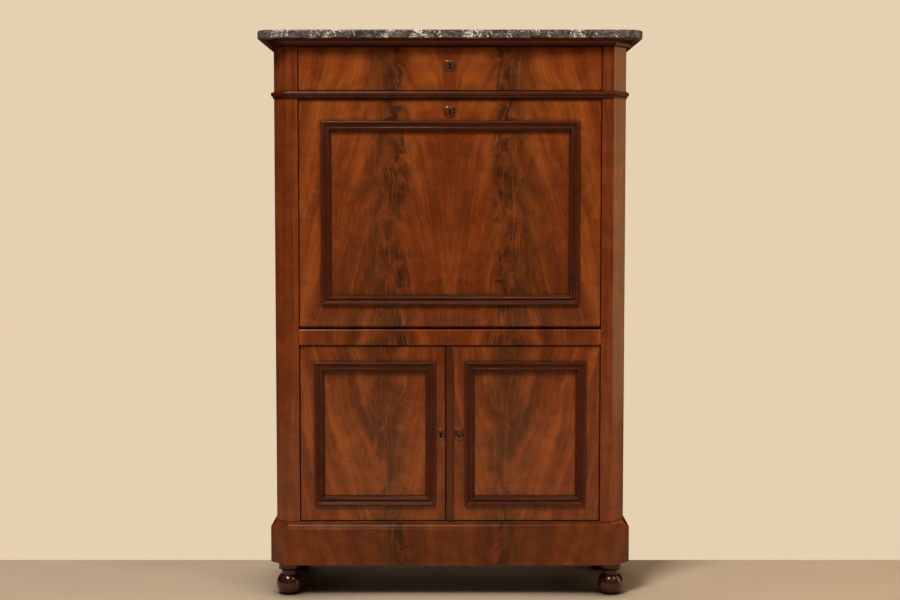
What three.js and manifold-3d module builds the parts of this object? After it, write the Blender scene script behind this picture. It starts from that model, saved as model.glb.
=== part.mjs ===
// A fall-front secretary desk. A marble slab covers a carcase with canted corner posts. From the top
// down it holds a frieze drawer, a falling writing flap over a nest of small drawers, and a cupboard
// with two doors, all on a plinth with four turned feet.
// Millimetres: +X to the right, +Y to the back, +Z up. The origin is on the floor, at the middle of the
// footprint. Run with the npm packages three and manifold-3d.
import * as THREE from "three";
import { mergeVertices } from "three/addons/utils/BufferGeometryUtils.js";
import Module from "manifold-3d";

const wasm = await Module();
wasm.setup();

// ---- Driving dimensions ----

const GAP = 0.3; // between pieces that touch
const STOP_GAP = 0.6; // between a closed door or fall and the lip that stops it
const OVERLAP = 14; // how far a panel moulding covers the frame around its panel
const CANT_MITRE = Math.tan(Math.PI / 8); // how far a mitre at a canted corner sets back, per unit of depth

const CARCASE = { front: -165, back: 200, side: 472, cant: 36 }; // its outer planes and canted corners
const OPENING = 405; // half the clear width between the corner posts
const LINING = { thickness: 12, front: -104.7 };
const SIDE_PANEL = 22;
const BACK_PANEL = 12;
const POST = { wall: 22, depth: 60 };

const SLAB = { width: 1024, bottom: 1498, top: 1520, corner: 50, eased: 2.5 };
const CORNICE = { bottom: 1480, projection: 20, rail: 40 };
const TOP_BOARD = { bottom: 1462, front: -138 };
const WAIST = { bottom: 1343, top: 1361.5 };
const DUST_BOARD = { lip: 16, lipThickness: 20 };
const RAIL = { bottom: 684, top: 726, back: -118, arris: 4, lip: 16, lipSide: 360 };
const PLINTH = { bottom: 88, top: 203, projection: 16, cavetto: 18, inner: 2.5 };
const BASE_BOARD = 18;
const FOOT = { x: 439, front: -131, back: 150, block: 60, neck: 22, collar: 29, collarBottom: 71, dowel: 15 };
const FOOT_BALL = { radius: 35, halfHeight: 34.2, middle: 29 };

const FRIEZE_DRAWER = { bottom: 1362.7, top: 1478.7, side: 403.5, front: -162, panel: 22, depth: 262 };
const FALL = { bottom: 727, top: 1341, side: 404, front: -160, thickness: 28 };
const FALL_PANEL = { side: 344.5, bottom: 791.5, top: 1282.5 };
const LEATHER = { side: 318, bottom: 818, top: 1256, thickness: 1.2, recess: 1.5 };
const LEVER = { pin: 7, arm: 8, width: 18, reach: 120, x: 424, plate: 5.2, plateWidth: 19, plateTop: 848 };
const DECK = { top: 755, clearance: 20.3, coveEnd: -40 };

const DOOR = { bottom: 206, top: 682.5, side: 403.8, front: -160, thickness: 24 };
const DOOR_PANEL = { inner: 39.5, outer: 365, bottom: 247, top: 638 };
const MEETING = { left: -12.5, right: -11 }; // the edges of the doors where they meet
const ASTRAGAL = { half: 11, proud: 5 };
const DOOR_PIVOT = { x: 389, y: -154.5, pin: 3, length: 52, end: 6, width: 7, thickness: 3 };
const SHELF = { bottom: 440, thickness: 18, front: -95 };

const PANEL_SINK = 6; // how far a panel's face lies behind its frame's
const NEST = { front: -60, inner: 150, caseTop: 955, shelf: 10, upper: 1150, wall: 8 };
const NEST_DRAWER = { depth: 210, panel: 10, wall: 6, play: 0.5, knob: 5.5, knobLength: 15 };
const NEST_DRAWERS = [
  { level: "lower", bottom: 763.6, top: 852 },
  { level: "upper", bottom: 860.6, top: 946.4 },
];

const SIDES = [
  { name: "left", sign: -1 },
  { name: "right", sign: 1 },
];

const fallPivot = [FALL.front + FALL.thickness / 2, FALL.bottom + FALL.thickness / 2];
const fallBack = FALL.front + FALL.thickness;
const doorBack = DOOR.front + DOOR.thickness;
const innerBack = CARCASE.back - BACK_PANEL - GAP; // where shelves and boards stop

// ---- Materials ----

const finish = (color, roughness, metalness = 0) =>
  new THREE.MeshStandardMaterial({ color, roughness, metalness });

const veneer = finish(0x8a4a22, 0.3);
const darkMoulding = finish(0x3f2115, 0.28);
const plinthVeneer = finish(0x6b3219, 0.32);
const carcaseWood = finish(0x7a5230, 0.65);
const drawerWood = finish(0x9a7448, 0.7);
const turnedWood = finish(0x5a2a17, 0.3);
const marble = finish(0x5a5050, 0.3);
const leather = finish(0x27432f, 0.6);
const brass = finish(0x6d5a2c, 0.35, 1);
const iron = finish(0x4a4744, 0.5, 1);

// ---- Geometry helpers ----

const X_AXIS = new THREE.Vector3(1, 0, 0);
const Y_AXIS = new THREE.Vector3(0, 1, 0);
const Z_AXIS = new THREE.Vector3(0, 0, 1);
const TOWARDS_FRONT = Y_AXIS.clone().negate();

/** A box from its three [low, high] spans. */
function box(...spans) {
  const sizes = spans.map(([low, high]) => high - low);
  const middles = spans.map(([low, high]) => (low + high) / 2);
  return new THREE.BoxGeometry(...sizes).translate(...middles);
}

/** The [low, high] span along X between two distances from the middle, on one side of it. */
function span(sign, inner, outer) {
  return sign < 0 ? [-outer, -inner] : [inner, outer];
}

/** An outline of [a, b] points extruded over a length, then turned by the basis vectors given. */
function prism(outline, length, basis) {
  const shape = new THREE.Shape(outline.map(([a, b]) => new THREE.Vector2(a, b)));
  const geometry = new THREE.ExtrudeGeometry(shape, { depth: length, bevelEnabled: false });
  return geometry.applyMatrix4(new THREE.Matrix4().makeBasis(...basis));
}

/** An outline in [y, z] extruded along X. */
function prismAlongX(outline, [low, high]) {
  return prism(outline, high - low, [Y_AXIS, Z_AXIS, X_AXIS]).translate(low, 0, 0);
}

/** An outline in [x, z] extruded along Y. */
function prismAlongY(outline, [low, high]) {
  return prism(outline, high - low, [X_AXIS, Z_AXIS, TOWARDS_FRONT]).translate(0, high, 0);
}

/** An outline in [x, y] extruded along Z. */
function prismAlongZ(outline, [low, high]) {
  return prism(outline, high - low, [X_AXIS, Y_AXIS, Z_AXIS]).translate(0, 0, low);
}

/** Points on an arc about a centre, with angles in degrees. */
function arc([a, b], radius, from, to, steps) {
  return Array.from({ length: steps + 1 }, (_, i) => {
    const angle = THREE.MathUtils.degToRad(from + ((to - from) * i) / steps);
    return [a + radius * Math.cos(angle), b + radius * Math.sin(angle)];
  });
}

/** A round bar along X, Y or Z, from its middle point, radius and length. */
function bar(axis, middle, radius, length) {
  const geometry = new THREE.CylinderGeometry(radius, radius, length, 24);
  if (axis === "x") geometry.rotateZ(Math.PI / 2);
  if (axis === "z") geometry.rotateX(Math.PI / 2);
  return geometry.translate(...middle);
}

/**
 * A profile carried along a path of straight stretches and mitred where they meet. The profile's points
 * are [across, proud]: across to the right of the path, and proud along the vector given.
 */
function moulding(path, proud, profile, closed = false) {
  const points = path.map((point) => new THREE.Vector3(...point));
  const outline = profile.map(([across, up]) => new THREE.Vector2(across, up));
  if (THREE.ShapeUtils.isClockWise(outline)) outline.reverse();
  const count = points.length;
  const ring = outline.length;
  const stretches = closed ? count : count - 1;
  const sides = points
    .slice(0, stretches)
    .map((point, i) => points[(i + 1) % count].clone().sub(point).normalize().cross(proud));
  const vertices = points.flatMap((point, i) => {
    const before = sides[closed ? (i + count - 1) % count : Math.max(i - 1, 0)];
    const after = sides[Math.min(i, stretches - 1)];
    const mitre = before.clone().add(after).divideScalar(1 + before.dot(after));
    return outline.map(({ x, y }) => point.clone().addScaledVector(mitre, x).addScaledVector(proud, y));
  });
  const index = [];
  for (let i = 0; i < stretches; i++) {
    const here = i * ring;
    const there = ((i + 1) % count) * ring;
    for (let j = 0; j < ring; j++) {
      const next = (j + 1) % ring;
      index.push(here + j, there + j, there + next);
      index.push(here + j, there + next, here + next);
    }
  }
  if (!closed) {
    const last = (count - 1) * ring;
    for (const [a, b, c] of THREE.ShapeUtils.triangulateShape(outline, [])) {
      index.push(a, b, c);
      index.push(last + a, last + c, last + b);
    }
  }
  return new THREE.BufferGeometry().setFromPoints(vertices).setIndex(index);
}

/** A closed geometry as a manifold-3d solid. */
function solidOf(geometry) {
  const bare = geometry.clone();
  bare.deleteAttribute("normal");
  bare.deleteAttribute("uv");
  const merged = mergeVertices(bare, 1e-4);
  const vertProperties = merged.attributes.position.array;
  const triVerts = new Uint32Array(merged.index.array);
  return new wasm.Manifold(new wasm.Mesh({ numProp: 3, vertProperties, triVerts }));
}

/** A manifold-3d solid as a geometry. */
function geometryOf(solid) {
  const { vertProperties, triVerts } = solid.getMesh();
  const geometry = new THREE.BufferGeometry();
  geometry.setAttribute("position", new THREE.BufferAttribute(vertProperties, 3));
  geometry.setIndex(new THREE.BufferAttribute(triVerts, 1));
  geometry.computeVertexNormals();
  return geometry;
}

/** A body with each tool cut out of it. */
function cut(body, ...tools) {
  return geometryOf(tools.map(solidOf).reduce((left, tool) => left.subtract(tool), solidOf(body)));
}

/** Pieces joined into one body. */
function join(...pieces) {
  return geometryOf(pieces.map(solidOf).reduce((all, piece) => all.add(piece)));
}

const desk = new THREE.Group();

/** Adds a named piece to the desk. */
function add(name, geometry, material) {
  const mesh = new THREE.Mesh(geometry, material);
  mesh.name = name;
  desk.add(mesh);
}

// ---- Marble top and the mouldings around the carcase ----

function marbleTop() {
  const { width, bottom, top, corner, eased } = SLAB;
  const side = width / 2;
  const front = -CARCASE.back;
  const outline = [
    [side, CARCASE.back],
    [-side, CARCASE.back],
    ...arc([-side + corner, front + corner], corner, 180, 270, 12),
    ...arc([side - corner, front + corner], corner, 270, 360, 12),
  ];
  const shape = new THREE.Shape(outline.map(([x, y]) => new THREE.Vector2(x, y)));
  const geometry = new THREE.ExtrudeGeometry(shape, {
    depth: top - bottom - GAP - 2 * eased,
    bevelThickness: eased,
    bevelSize: eased,
    bevelOffset: -eased,
    bevelSegments: 3,
  });
  add("marble_top", geometry.translate(0, 0, bottom + GAP + eased), marble);
}

/** The plan of the carcase from its left back corner round the front, at one height. */
function carcasePath(z, back = CARCASE.back) {
  const { front, side, cant } = CARCASE;
  return [
    [-side, back, z],
    [-side, front + cant, z],
    [-side + cant, front, z],
    [side - cant, front, z],
    [side, front + cant, z],
    [side, back, z],
  ];
}

function cornice() {
  const { bottom, projection, rail } = CORNICE;
  const height = SLAB.bottom - bottom;
  const hollow = arc([projection, 3], height - 5, 178, 92, 6);
  const profile = [
    [-rail, 0],
    [5, 0],
    [5, 3],
    ...hollow,
    [projection, height - 1.5],
    [projection, height],
    [-rail, height],
  ];
  add("cornice", moulding(carcasePath(bottom, innerBack), Z_AXIS, profile), darkMoulding);
}

function waistMoulding() {
  const height = WAIST.top - WAIST.bottom - GAP;
  const profile = [
    [GAP, 0],
    [2, 0],
    ...arc([2, 5], 5, -90, 20, 5),
    [4.5, 8.5],
    ...arc([8, 8.5], 3, 175, 95, 4),
    [8, height - 1],
    [7, height],
    [GAP, height],
  ];
  add("waist_moulding", moulding(carcasePath(WAIST.bottom), Z_AXIS, profile), darkMoulding);
}

// ---- Carcase ----

function cornerPosts() {
  const { front, side, cant } = CARCASE;
  const { wall, depth } = POST;
  const end = front + depth;
  const inner = wall * CANT_MITRE;
  const outline = [
    [OPENING + GAP, front],
    [side - cant, front],
    [side, front + cant],
    [side, end],
    [side - wall, end],
    [side - wall, front + cant + inner],
    [side - cant - inner, front + wall],
    [OPENING + LINING.thickness, front + wall],
    [OPENING + LINING.thickness, end],
    [OPENING + GAP, end],
  ];
  const [pivotY, pivotZ] = fallPivot;
  const slot = LEVER.width / 2 + GAP;
  const armPlay = 3;
  for (const { name, sign } of SIDES) {
    const plan = outline.map(([x, y]) => [sign * x, y]);
    const post = prismAlongZ(plan, [PLINTH.top + GAP, CORNICE.bottom - GAP]);
    const pinHole = bar("x", [sign * OPENING, pivotY, pivotZ], LEVER.pin + 1, 2 * (LEVER.x - OPENING));
    const armSlot = box(
      span(sign, LEVER.x - armPlay, LEVER.x + LEVER.arm + armPlay),
      [pivotY - slot, end + 1],
      [pivotZ - slot - armPlay, pivotZ + LEVER.reach + 2 * armPlay],
    );
    add(name + "_corner_post", cut(post, pinHole, armSlot), veneer);
  }
}

function carcasePanels() {
  const levels = [PLINTH.top + GAP, CORNICE.bottom - GAP];
  for (const { name, sign } of SIDES) {
    const outer = span(sign, CARCASE.side - SIDE_PANEL, CARCASE.side);
    const inner = span(sign, OPENING, OPENING + LINING.thickness);
    add(name + "_side_panel", box(outer, [LINING.front, innerBack], levels), veneer);
    add(name + "_lining", box(inner, [LINING.front, innerBack], levels), carcaseWood);
  }
  const { side, back } = CARCASE;
  const height = [levels[0], SLAB.bottom - GAP];
  add("back_panel", box([-side, side], [back - BACK_PANEL, back], height), carcaseWood);
}

/** The clear width between the linings. */
const clear = [-OPENING + GAP, OPENING - GAP];

function horizontalBoards() {
  const friezeFront = CARCASE.front + GAP;
  const lipFront = fallBack + STOP_GAP;
  const lipBack = lipFront + DUST_BOARD.lipThickness;
  const lipBottom = WAIST.bottom - DUST_BOARD.lip;
  const dustBoardTop = WAIST.top - 2 * GAP;
  const dustBoard = [
    [friezeFront, WAIST.bottom],
    [lipFront, WAIST.bottom],
    [lipFront, lipBottom],
    [lipBack, lipBottom],
    [lipBack, WAIST.bottom],
    [innerBack, WAIST.bottom],
    [innerBack, dustBoardTop],
    [friezeFront, dustBoardTop],
  ];
  add("frieze_dust_board", prismAlongX(dustBoard, clear), carcaseWood);
  const topLevels = [TOP_BOARD.bottom, CORNICE.bottom - GAP];
  add("top_board", box(clear, [TOP_BOARD.front, innerBack], topLevels), carcaseWood);

  const { top, clearance, coveEnd } = DECK;
  const coveStart = THREE.MathUtils.radToDeg(Math.asin((top - fallPivot[1]) / clearance));
  const cove = arc(fallPivot, clearance, coveStart, coveEnd, 8);
  const deckBottom = RAIL.top + GAP;
  const deck = [...cove, [cove.at(-1)[0], deckBottom], [innerBack, deckBottom], [innerBack, top]];
  add("writing_deck", prismAlongX(deck, clear), carcaseWood);

  const shelfTop = SHELF.bottom + SHELF.thickness;
  add("cupboard_shelf", box(clear, [SHELF.front, innerBack], [SHELF.bottom, shelfTop]), carcaseWood);
}

/** A cutter for the pivot pins of the doors, open at both ends of its length. */
function pinHoles(low, high) {
  const { x, y, pin } = DOOR_PIVOT;
  return SIDES.map(({ sign }) => bar("z", [sign * x, y, (low + high) / 2], pin + 1, high - low));
}

/** The rail over the doors. The lip that stops them ends short of their pivots, to let them swing. */
function middleRail() {
  const { bottom, top, back, arris, lip, lipSide } = RAIL;
  const front = CARCASE.front;
  const rounded = arc([front + arris, top - arris], arris, 90, 180, 4);
  const board = prismAlongX([[front, bottom], [back, bottom], [back, top], ...rounded], clear);
  const stop = box([-lipSide, lipSide], [doorBack + STOP_GAP, back], [bottom - lip, bottom + arris]);
  add("middle_rail", cut(join(board, stop), ...pinHoles(bottom - 1, bottom + 10)), veneer);
}

// ---- Plinth and feet ----

function plinth() {
  const { bottom, top, projection, cavetto, inner } = PLINTH;
  const height = top - bottom;
  const hollow = arc([projection, height], cavetto - 2, 262, 188, 6);
  const foot = [[-inner, 0], [projection, 0], [projection, height - cavetto]];
  const profile = [...foot, ...hollow, [0, height], [-inner, height]];
  const whole = solidOf(moulding(carcasePath(bottom), Z_AXIS, profile));
  const part = (plan) => geometryOf(whole.intersect(solidOf(prismAlongZ(plan, [bottom - 1, top + 1]))));
  const { side, front, back, cant } = CARCASE;
  const corner = front + cant;
  // The mitre between a cant and a side runs along the line that halves their angle, from in to out.
  const reach = 40;
  const mitreIn = [side - reach, corner + reach * CANT_MITRE];
  const mitreOut = [side + reach, corner - reach * CANT_MITRE];
  const sidePlan = [mitreIn, mitreOut, [side + reach, back + 1], [side - reach, back + 1]];
  for (const { name, sign } of SIDES) {
    add("plinth_" + name, part(sidePlan.map(([x, y]) => [sign * x, y + GAP / 2])), plinthVeneer);
  }
  const rightHalf = [[side + reach, front - reach], mitreOut, mitreIn];
  const leftHalf = rightHalf.map(([x, y]) => [-x, y]).reverse();
  const frontPlan = [...rightHalf, ...leftHalf].map(([x, y]) => [x, y - GAP / 2]);
  add("plinth_front", part(frontPlan), plinthVeneer);

  const set = inner + GAP;
  const base = [
    [-side + set, back],
    [-side + set, corner + set * CANT_MITRE],
    [-side + cant + set * CANT_MITRE, front + set],
    [side - cant - set * CANT_MITRE, front + set],
    [side - set, corner + set * CANT_MITRE],
    [side - set, back],
  ];
  const board = prismAlongZ(base, [top - BASE_BOARD, top]);
  add("bottom_board", cut(board, ...pinHoles(top - 12, top + 1)), carcaseWood);
}

function feet() {
  const { neck, collar, collarBottom, dowel } = FOOT;
  const { radius, halfHeight, middle } = FOOT_BALL;
  const topAngle = THREE.MathUtils.radToDeg(Math.acos(neck / radius));
  const bottomAngle = -THREE.MathUtils.radToDeg(Math.asin(middle / halfHeight));
  // A circle pressed to the ball's height.
  const circle = arc([0, 0], radius, bottomAngle, topAngle, 14);
  const ball = circle.map(([r, z]) => [r, middle + (z * halfHeight) / radius]);
  const coveRadius = collar + 1 - neck;
  const cove = arc([collar + 1, collarBottom - coveRadius - 1], coveRadius, 180, 97, 5);
  const under = PLINTH.bottom - GAP;
  const dowelTop = PLINTH.bottom + 2;
  const upper = [[collar, collarBottom], [collar, under], [dowel, under], [dowel, dowelTop], [0, dowelTop]];
  const profile = [[0, 0], ...ball, ...cove, ...upper];
  const half = FOOT.block / 2;
  const { side, front, cant } = CARCASE;
  // The block's outer front corner is cut off, parallel to the plinth's cant.
  const kept = side - FOOT.x - (front + cant - FOOT.front) - 2 * PLINTH.inner - 2;
  for (const { name, sign } of SIDES) {
    for (const [place, y] of [["front", FOOT.front], ["back", FOOT.back]]) {
      const x = sign * FOOT.x;
      const points = profile.map(([r, z]) => new THREE.Vector2(r, z));
      const lathed = new THREE.LatheGeometry(points, 32).rotateX(Math.PI / 2).translate(x, y, 0);
      const plan = [[-half, -half], [kept - half, -half], [half, half - kept], [half, half], [-half, half]];
      const outline = plan.map(([across, along]) => [x + sign * across, y + along]);
      const block = prismAlongZ(outline, [PLINTH.bottom, PLINTH.top - BASE_BOARD - GAP]);
      add(name + "_" + place + "_foot", join(lathed, block), turnedWood);
    }
  }
}

// ---- Panels in moulded frames ----

/** The outer edge of a panel moulding, moved inwards on all four sides. */
function inset({ x: [left, right], z: [bottom, top] }, by) {
  return { x: [left + by, right - by], z: [bottom + by, top - by] };
}

/** The moulding round a sunk panel: a bead, a hollow, a second bead, and a cove down to the panel. */
function panelMoulding(area, front) {
  const { x: [left, right], z: [bottom, top] } = area;
  const path = [[left, front, top], [right, front, top], [right, front, bottom], [left, front, bottom]];
  const profile = [
    [0, GAP],
    ...arc([4, 5], 4, 180, 45, 6),
    ...arc([14.2, 10], 7.2, 200, 268, 4),
    ...arc([18.2, 3.2], 3.2, 180, 0, 6),
    ...arc([27, 0.6], 5.4, 180, 270, 4),
    [27, -PANEL_SINK + GAP],
    [OVERLAP + GAP, -PANEL_SINK + GAP],
    [OVERLAP + GAP, GAP],
  ];
  return moulding(path, TOWARDS_FRONT, profile, true);
}

/** A keyhole's outline in [x, z]: a round hole over a slot. */
function keyhole(x, z) {
  return [...arc([x, z + 3], 3.2, -65, 245, 10), [x - 1.9, z - 9], [x + 1.9, z - 9]];
}

/** A rounded plate with a keyhole through it, on a face that looks to the front. */
function escutcheon(x, z, width, height, face) {
  const corner = Math.min(width, height) * 0.38;
  const right = x + width / 2 - corner;
  const left = x - width / 2 + corner;
  const top = z + height / 2 - corner;
  const bottom = z - height / 2 + corner;
  const outline = [
    ...arc([right, top], corner, 0, 90, 5),
    ...arc([left, top], corner, 90, 180, 5),
    ...arc([left, bottom], corner, 180, 270, 5),
    ...arc([right, bottom], corner, 270, 360, 5),
  ];
  const plate = prismAlongY(outline, [face - 2.3, face - GAP]);
  return cut(plate, prismAlongY(keyhole(x, z), [face - 5, face + 5]));
}

/** A cutter for the keyhole behind an escutcheon. */
function keyCutter(x, z, face) {
  return prismAlongY(keyhole(x, z), [face - 1, face + 9]);
}

// ---- Frieze drawer ----

const FRIEZE_KEY = 1429;
const DRAWER_LOCK = { width: 70, height: 44, depth: 10 };

/** A span made longer by the gap at each end. */
function inflate([low, high]) {
  return [low - GAP, high + GAP];
}

function friezeDrawer() {
  const { bottom, top, side, front, panel, depth } = FRIEZE_DRAWER;
  const wall = 12;
  const wallTop = 1445;
  const backOfFront = front + panel;
  const end = backOfFront + depth;
  const floor = [bottom + 10, bottom + 18];
  const { width, height, depth: lockDepth } = DRAWER_LOCK;
  const lockX = [-width / 2, width / 2];
  const lockZ = [FRIEZE_KEY - height / 2, FRIEZE_KEY + height / 2];
  const lockSeat = box(inflate(lockX), [backOfFront - lockDepth - GAP, backOfFront + 1], inflate(lockZ));
  const board = box([-side, side], [front, backOfFront], [bottom, top]);
  add("drawer_front", cut(board, lockSeat, keyCutter(0, FRIEZE_KEY, front)), veneer);
  add("drawer_lock", box(lockX, [backOfFront - lockDepth, backOfFront], lockZ), iron);
  add("drawer_escutcheon", escutcheon(0, FRIEZE_KEY, 30, 30, front), brass);
  for (const { name, sign } of SIDES) {
    const x = span(sign, side - wall, side);
    add("drawer_" + name + "_side", box(x, [backOfFront + GAP, end], [bottom, wallTop]), drawerWood);
  }
  const inside = [-side + wall + GAP, side - wall - GAP];
  add("drawer_back", box(inside, [end - wall, end], [bottom, wallTop]), drawerWood);
  add("drawer_bottom", box(inside, [backOfFront + GAP, end - wall - GAP], floor), drawerWood);
}

// ---- Fall ----

const FALL_KEY = 1307;
const FALL_LOCK = { side: 35, bottom: 1290, top: 1336, depth: 12 };

function fall() {
  const { bottom, top, side, front, thickness } = FALL;
  const area = { x: [-FALL_PANEL.side, FALL_PANEL.side], z: [FALL_PANEL.bottom, FALL_PANEL.top] };
  const opening = inset(area, OVERLAP);
  const round = thickness / 2;
  const section = [...arc(fallPivot, round, 180, 270, 6), [fallBack, bottom], [fallBack, top], [front, top]];
  const [pivotY, pivotZ] = fallPivot;
  const plateSeats = SIDES.map(({ sign }) => leverPlate(sign, 2 * GAP));
  const lock = FALL_LOCK;
  const lockX = [-lock.side, lock.side];
  const lockZ = [lock.bottom, lock.top];
  const frame = cut(
    prismAlongX(section, [-side, side]),
    box(opening.x, [front - 5, fallBack + 5], opening.z),
    box(inflate(lockX), [fallBack - lock.depth - GAP, fallBack + 1], inflate(lockZ)),
    keyCutter(0, FALL_KEY, front),
    ...plateSeats,
  );
  add("fall_frame", frame, veneer);
  add("fall_lock", box(lockX, [fallBack - lock.depth, fallBack - 0.1], lockZ), iron);
  add("fall_moulding", panelMoulding(area, front), darkMoulding);
  add("fall_escutcheon", escutcheon(0, FALL_KEY, 30, 30, front), brass);

  const panelArea = inset(opening, GAP);
  const leatherX = [-LEATHER.side, LEATHER.side];
  const leatherZ = [LEATHER.bottom, LEATHER.top];
  const recess = box(inflate(leatherX), [fallBack - LEATHER.recess, fallBack + 1], inflate(leatherZ));
  add("fall_panel", cut(box(panelArea.x, [front + PANEL_SINK, fallBack], panelArea.z), recess), veneer);
  const skinBottom = fallBack - LEATHER.recess + 0.2;
  add("fall_leather", box(leatherX, [skinBottom, skinBottom + LEATHER.thickness], leatherZ), leather);

  for (const { name, sign } of SIDES) {
    const plate = leverPlate(sign, 0);
    const pin = bar("x", [(sign * (side + LEVER.x)) / 2, pivotY, pivotZ], LEVER.pin, LEVER.x - side + 2);
    const hub = bar("x", [sign * (LEVER.x + LEVER.arm / 2), pivotY, pivotZ], LEVER.width / 2, LEVER.arm);
    const arm = box(
      span(sign, LEVER.x, LEVER.x + LEVER.arm),
      [pivotY, pivotY + LEVER.reach],
      [pivotZ - LEVER.width / 2, pivotZ + LEVER.width / 2],
    );
    add("fall_" + name + "_lever", join(plate, pin, hub, arm), iron);
  }
}

/** The plate that holds a lever to the end of the fall, or with a margin the seat that it is let into. */
function leverPlate(sign, margin) {
  const { plate, plateWidth, plateTop } = LEVER;
  const [pivotY, pivotZ] = fallPivot;
  const outer = FALL.side - GAP;
  const half = plateWidth / 2 + margin;
  const across = span(sign, outer - plate - margin, outer + margin);
  return box(across, [pivotY - half, pivotY + half], [pivotZ - half, plateTop + margin]);
}

// ---- Doors ----

const DOOR_KEY = 441;
const DOOR_LOCK = { inner: 4, outer: 46, bottom: 412, top: 468, depth: 12 };

function doors() {
  const { bottom, top, side, front } = DOOR;
  const plates = { left: [20, 28.5], right: [24, 31] };
  for (const { name, sign } of SIDES) {
    const x = sign < 0 ? [-side, MEETING.left] : [MEETING.right, side];
    const panel = DOOR_PANEL;
    const area = { x: span(sign, panel.inner, panel.outer), z: [panel.bottom, panel.top] };
    const opening = inset(area, OVERLAP);
    const keyX = sign * 25;
    const seats = [
      box(opening.x, [front - 5, doorBack + 5], opening.z),
      keyCutter(keyX, DOOR_KEY, front),
      ...[pivotSpan(bottom, 1), pivotSpan(top, -1)].map((z) => pivotPlate(sign, inflate(z), GAP)),
    ];
    if (sign > 0) seats.push(doorLock(GAP));
    add(name + "_door_frame", cut(box(x, [front, doorBack], [bottom, top]), ...seats), veneer);
    const panelArea = inset(opening, GAP);
    add(name + "_door_panel", box(panelArea.x, [front + PANEL_SINK, doorBack], panelArea.z), veneer);
    add(name + "_door_moulding", panelMoulding(area, front), darkMoulding);
    add(name + "_door_escutcheon", escutcheon(keyX, DOOR_KEY, ...plates[name], front), brass);
    doorPivots(name, sign);
  }
  add("door_lock", doorLock(0), iron);
  const { half, proud } = ASTRAGAL;
  const radius = (half * half + proud * proud) / (2 * proud);
  const sweep = THREE.MathUtils.radToDeg(Math.asin(half / radius));
  const profile = arc([0, front - proud + radius - GAP], radius, 270 - sweep, 270 + sweep, 10);
  add("door_astragal", prismAlongZ(profile, [bottom + 1, top - 1]), veneer);
}

/** The levels of a pivot's plate, let into the bottom or the top edge of a door. */
function pivotSpan(edge, towardsDoor) {
  const levels = [edge + GAP * towardsDoor, edge + (GAP + DOOR_PIVOT.thickness) * towardsDoor];
  return levels.sort((a, b) => a - b);
}

/** The plate of a door's pivot, or with a margin the seat that it is let into. */
function pivotPlate(sign, levels, margin) {
  const { x, y, width, length, end } = DOOR_PIVOT;
  const across = span(sign, x + end - length - margin, x + end + margin);
  return box(across, [y - width / 2 - margin, y + width / 2 + margin], levels);
}

function doorPivots(name, sign) {
  const { x, y, pin } = DOOR_PIVOT;
  const ends = [
    ["lower", pivotSpan(DOOR.bottom, 1), PLINTH.top - 10, DOOR.bottom + 1],
    ["upper", pivotSpan(DOOR.top, -1), DOOR.top - 1, RAIL.bottom + 8],
  ];
  for (const [end, levels, low, high] of ends) {
    const shaft = bar("z", [sign * x, y, (low + high) / 2], pin, high - low);
    add(name + "_door_" + end + "_pivot", join(pivotPlate(sign, levels, 0), shaft), brass);
  }
}

/** The lock let into the back of the right door, or with a margin its seat. */
function doorLock(margin) {
  const { inner, outer, bottom, top, depth } = DOOR_LOCK;
  const across = [inner - margin, outer + margin];
  return box(across, [doorBack - depth - margin, doorBack + margin], [bottom - margin, top + margin]);
}

// ---- Nest of shelves and drawers behind the fall ----

function nest() {
  const { front, inner, caseTop, shelf, upper, wall } = NEST;
  const { play } = NEST_DRAWER;
  for (const [name, bottom] of [["nest_shelf", caseTop + GAP], ["nest_upper_shelf", upper]]) {
    add(name, box(clear, [front, innerBack], [bottom, bottom + shelf]), carcaseWood);
  }
  const outer = OPENING - GAP;
  const caseBottom = DECK.top + GAP;
  for (const { name, sign } of SIDES) {
    const hollows = NEST_DRAWERS.map(({ bottom, top }) =>
      box(span(sign, inner + wall, outer - wall), [front - 1, innerBack - wall], [bottom - GAP, top + GAP]));
    const block = box(span(sign, inner, outer), [front, innerBack], [caseBottom, caseTop]);
    add("nest_" + name + "_case", cut(block, ...hollows), carcaseWood);
    for (const { level, bottom, top } of NEST_DRAWERS) {
      const x = span(sign, inner + wall + play, outer - wall - play);
      add("nest_" + name + "_" + level + "_drawer", nestDrawer(x, [bottom, top - play]), drawerWood);
    }
  }
}

/** A small dovetailed drawer, glued up as one, with its turned knob. */
function nestDrawer(x, z) {
  const [left, right] = x;
  const [bottom, top] = z;
  const { depth, panel, wall, knob, knobLength } = NEST_DRAWER;
  const front = NEST.front + 1;
  const end = front + depth;
  const hollow = box([left + wall, right - wall], [front + panel, end - wall], [bottom + wall, top + wall]);
  const stem = knob - 1;
  const head = arc([2, knobLength - knob], knob, -50, 70, 6);
  const profile = [[0, 0], [stem, 0], [stem, knob], ...head, [0, knobLength]];
  const lathed = new THREE.LatheGeometry(profile.map(([r, length]) => new THREE.Vector2(r, length)), 20);
  lathed.rotateX(Math.PI).translate((left + right) / 2, front + GAP, (bottom + top) / 2);
  return join(cut(box(x, [front, end], z), hollow), lathed);
}

marbleTop();
cornice();
waistMoulding();
cornerPosts();
carcasePanels();
horizontalBoards();
middleRail();
plinth();
feet();
friezeDrawer();
fall();
doors();
nest();

export default desk;
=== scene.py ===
"""Looks of a fall-front secretary desk: polished flame mahogany, a marble slab, brass and leather.

Everything is in metres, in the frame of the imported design: +X to the right, +Y to the back, +Z up, with the
origin on the floor under the middle of the desk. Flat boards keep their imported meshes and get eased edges.
Mouldings, turned pieces, plates and the slab are worked out here as finer surfaces around the same sizes.
"""

import logging
import math
from abc import ABC, abstractmethod
from dataclasses import dataclass
from enum import Enum
from functools import cache
from typing import Iterable, Sequence, Union

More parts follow.
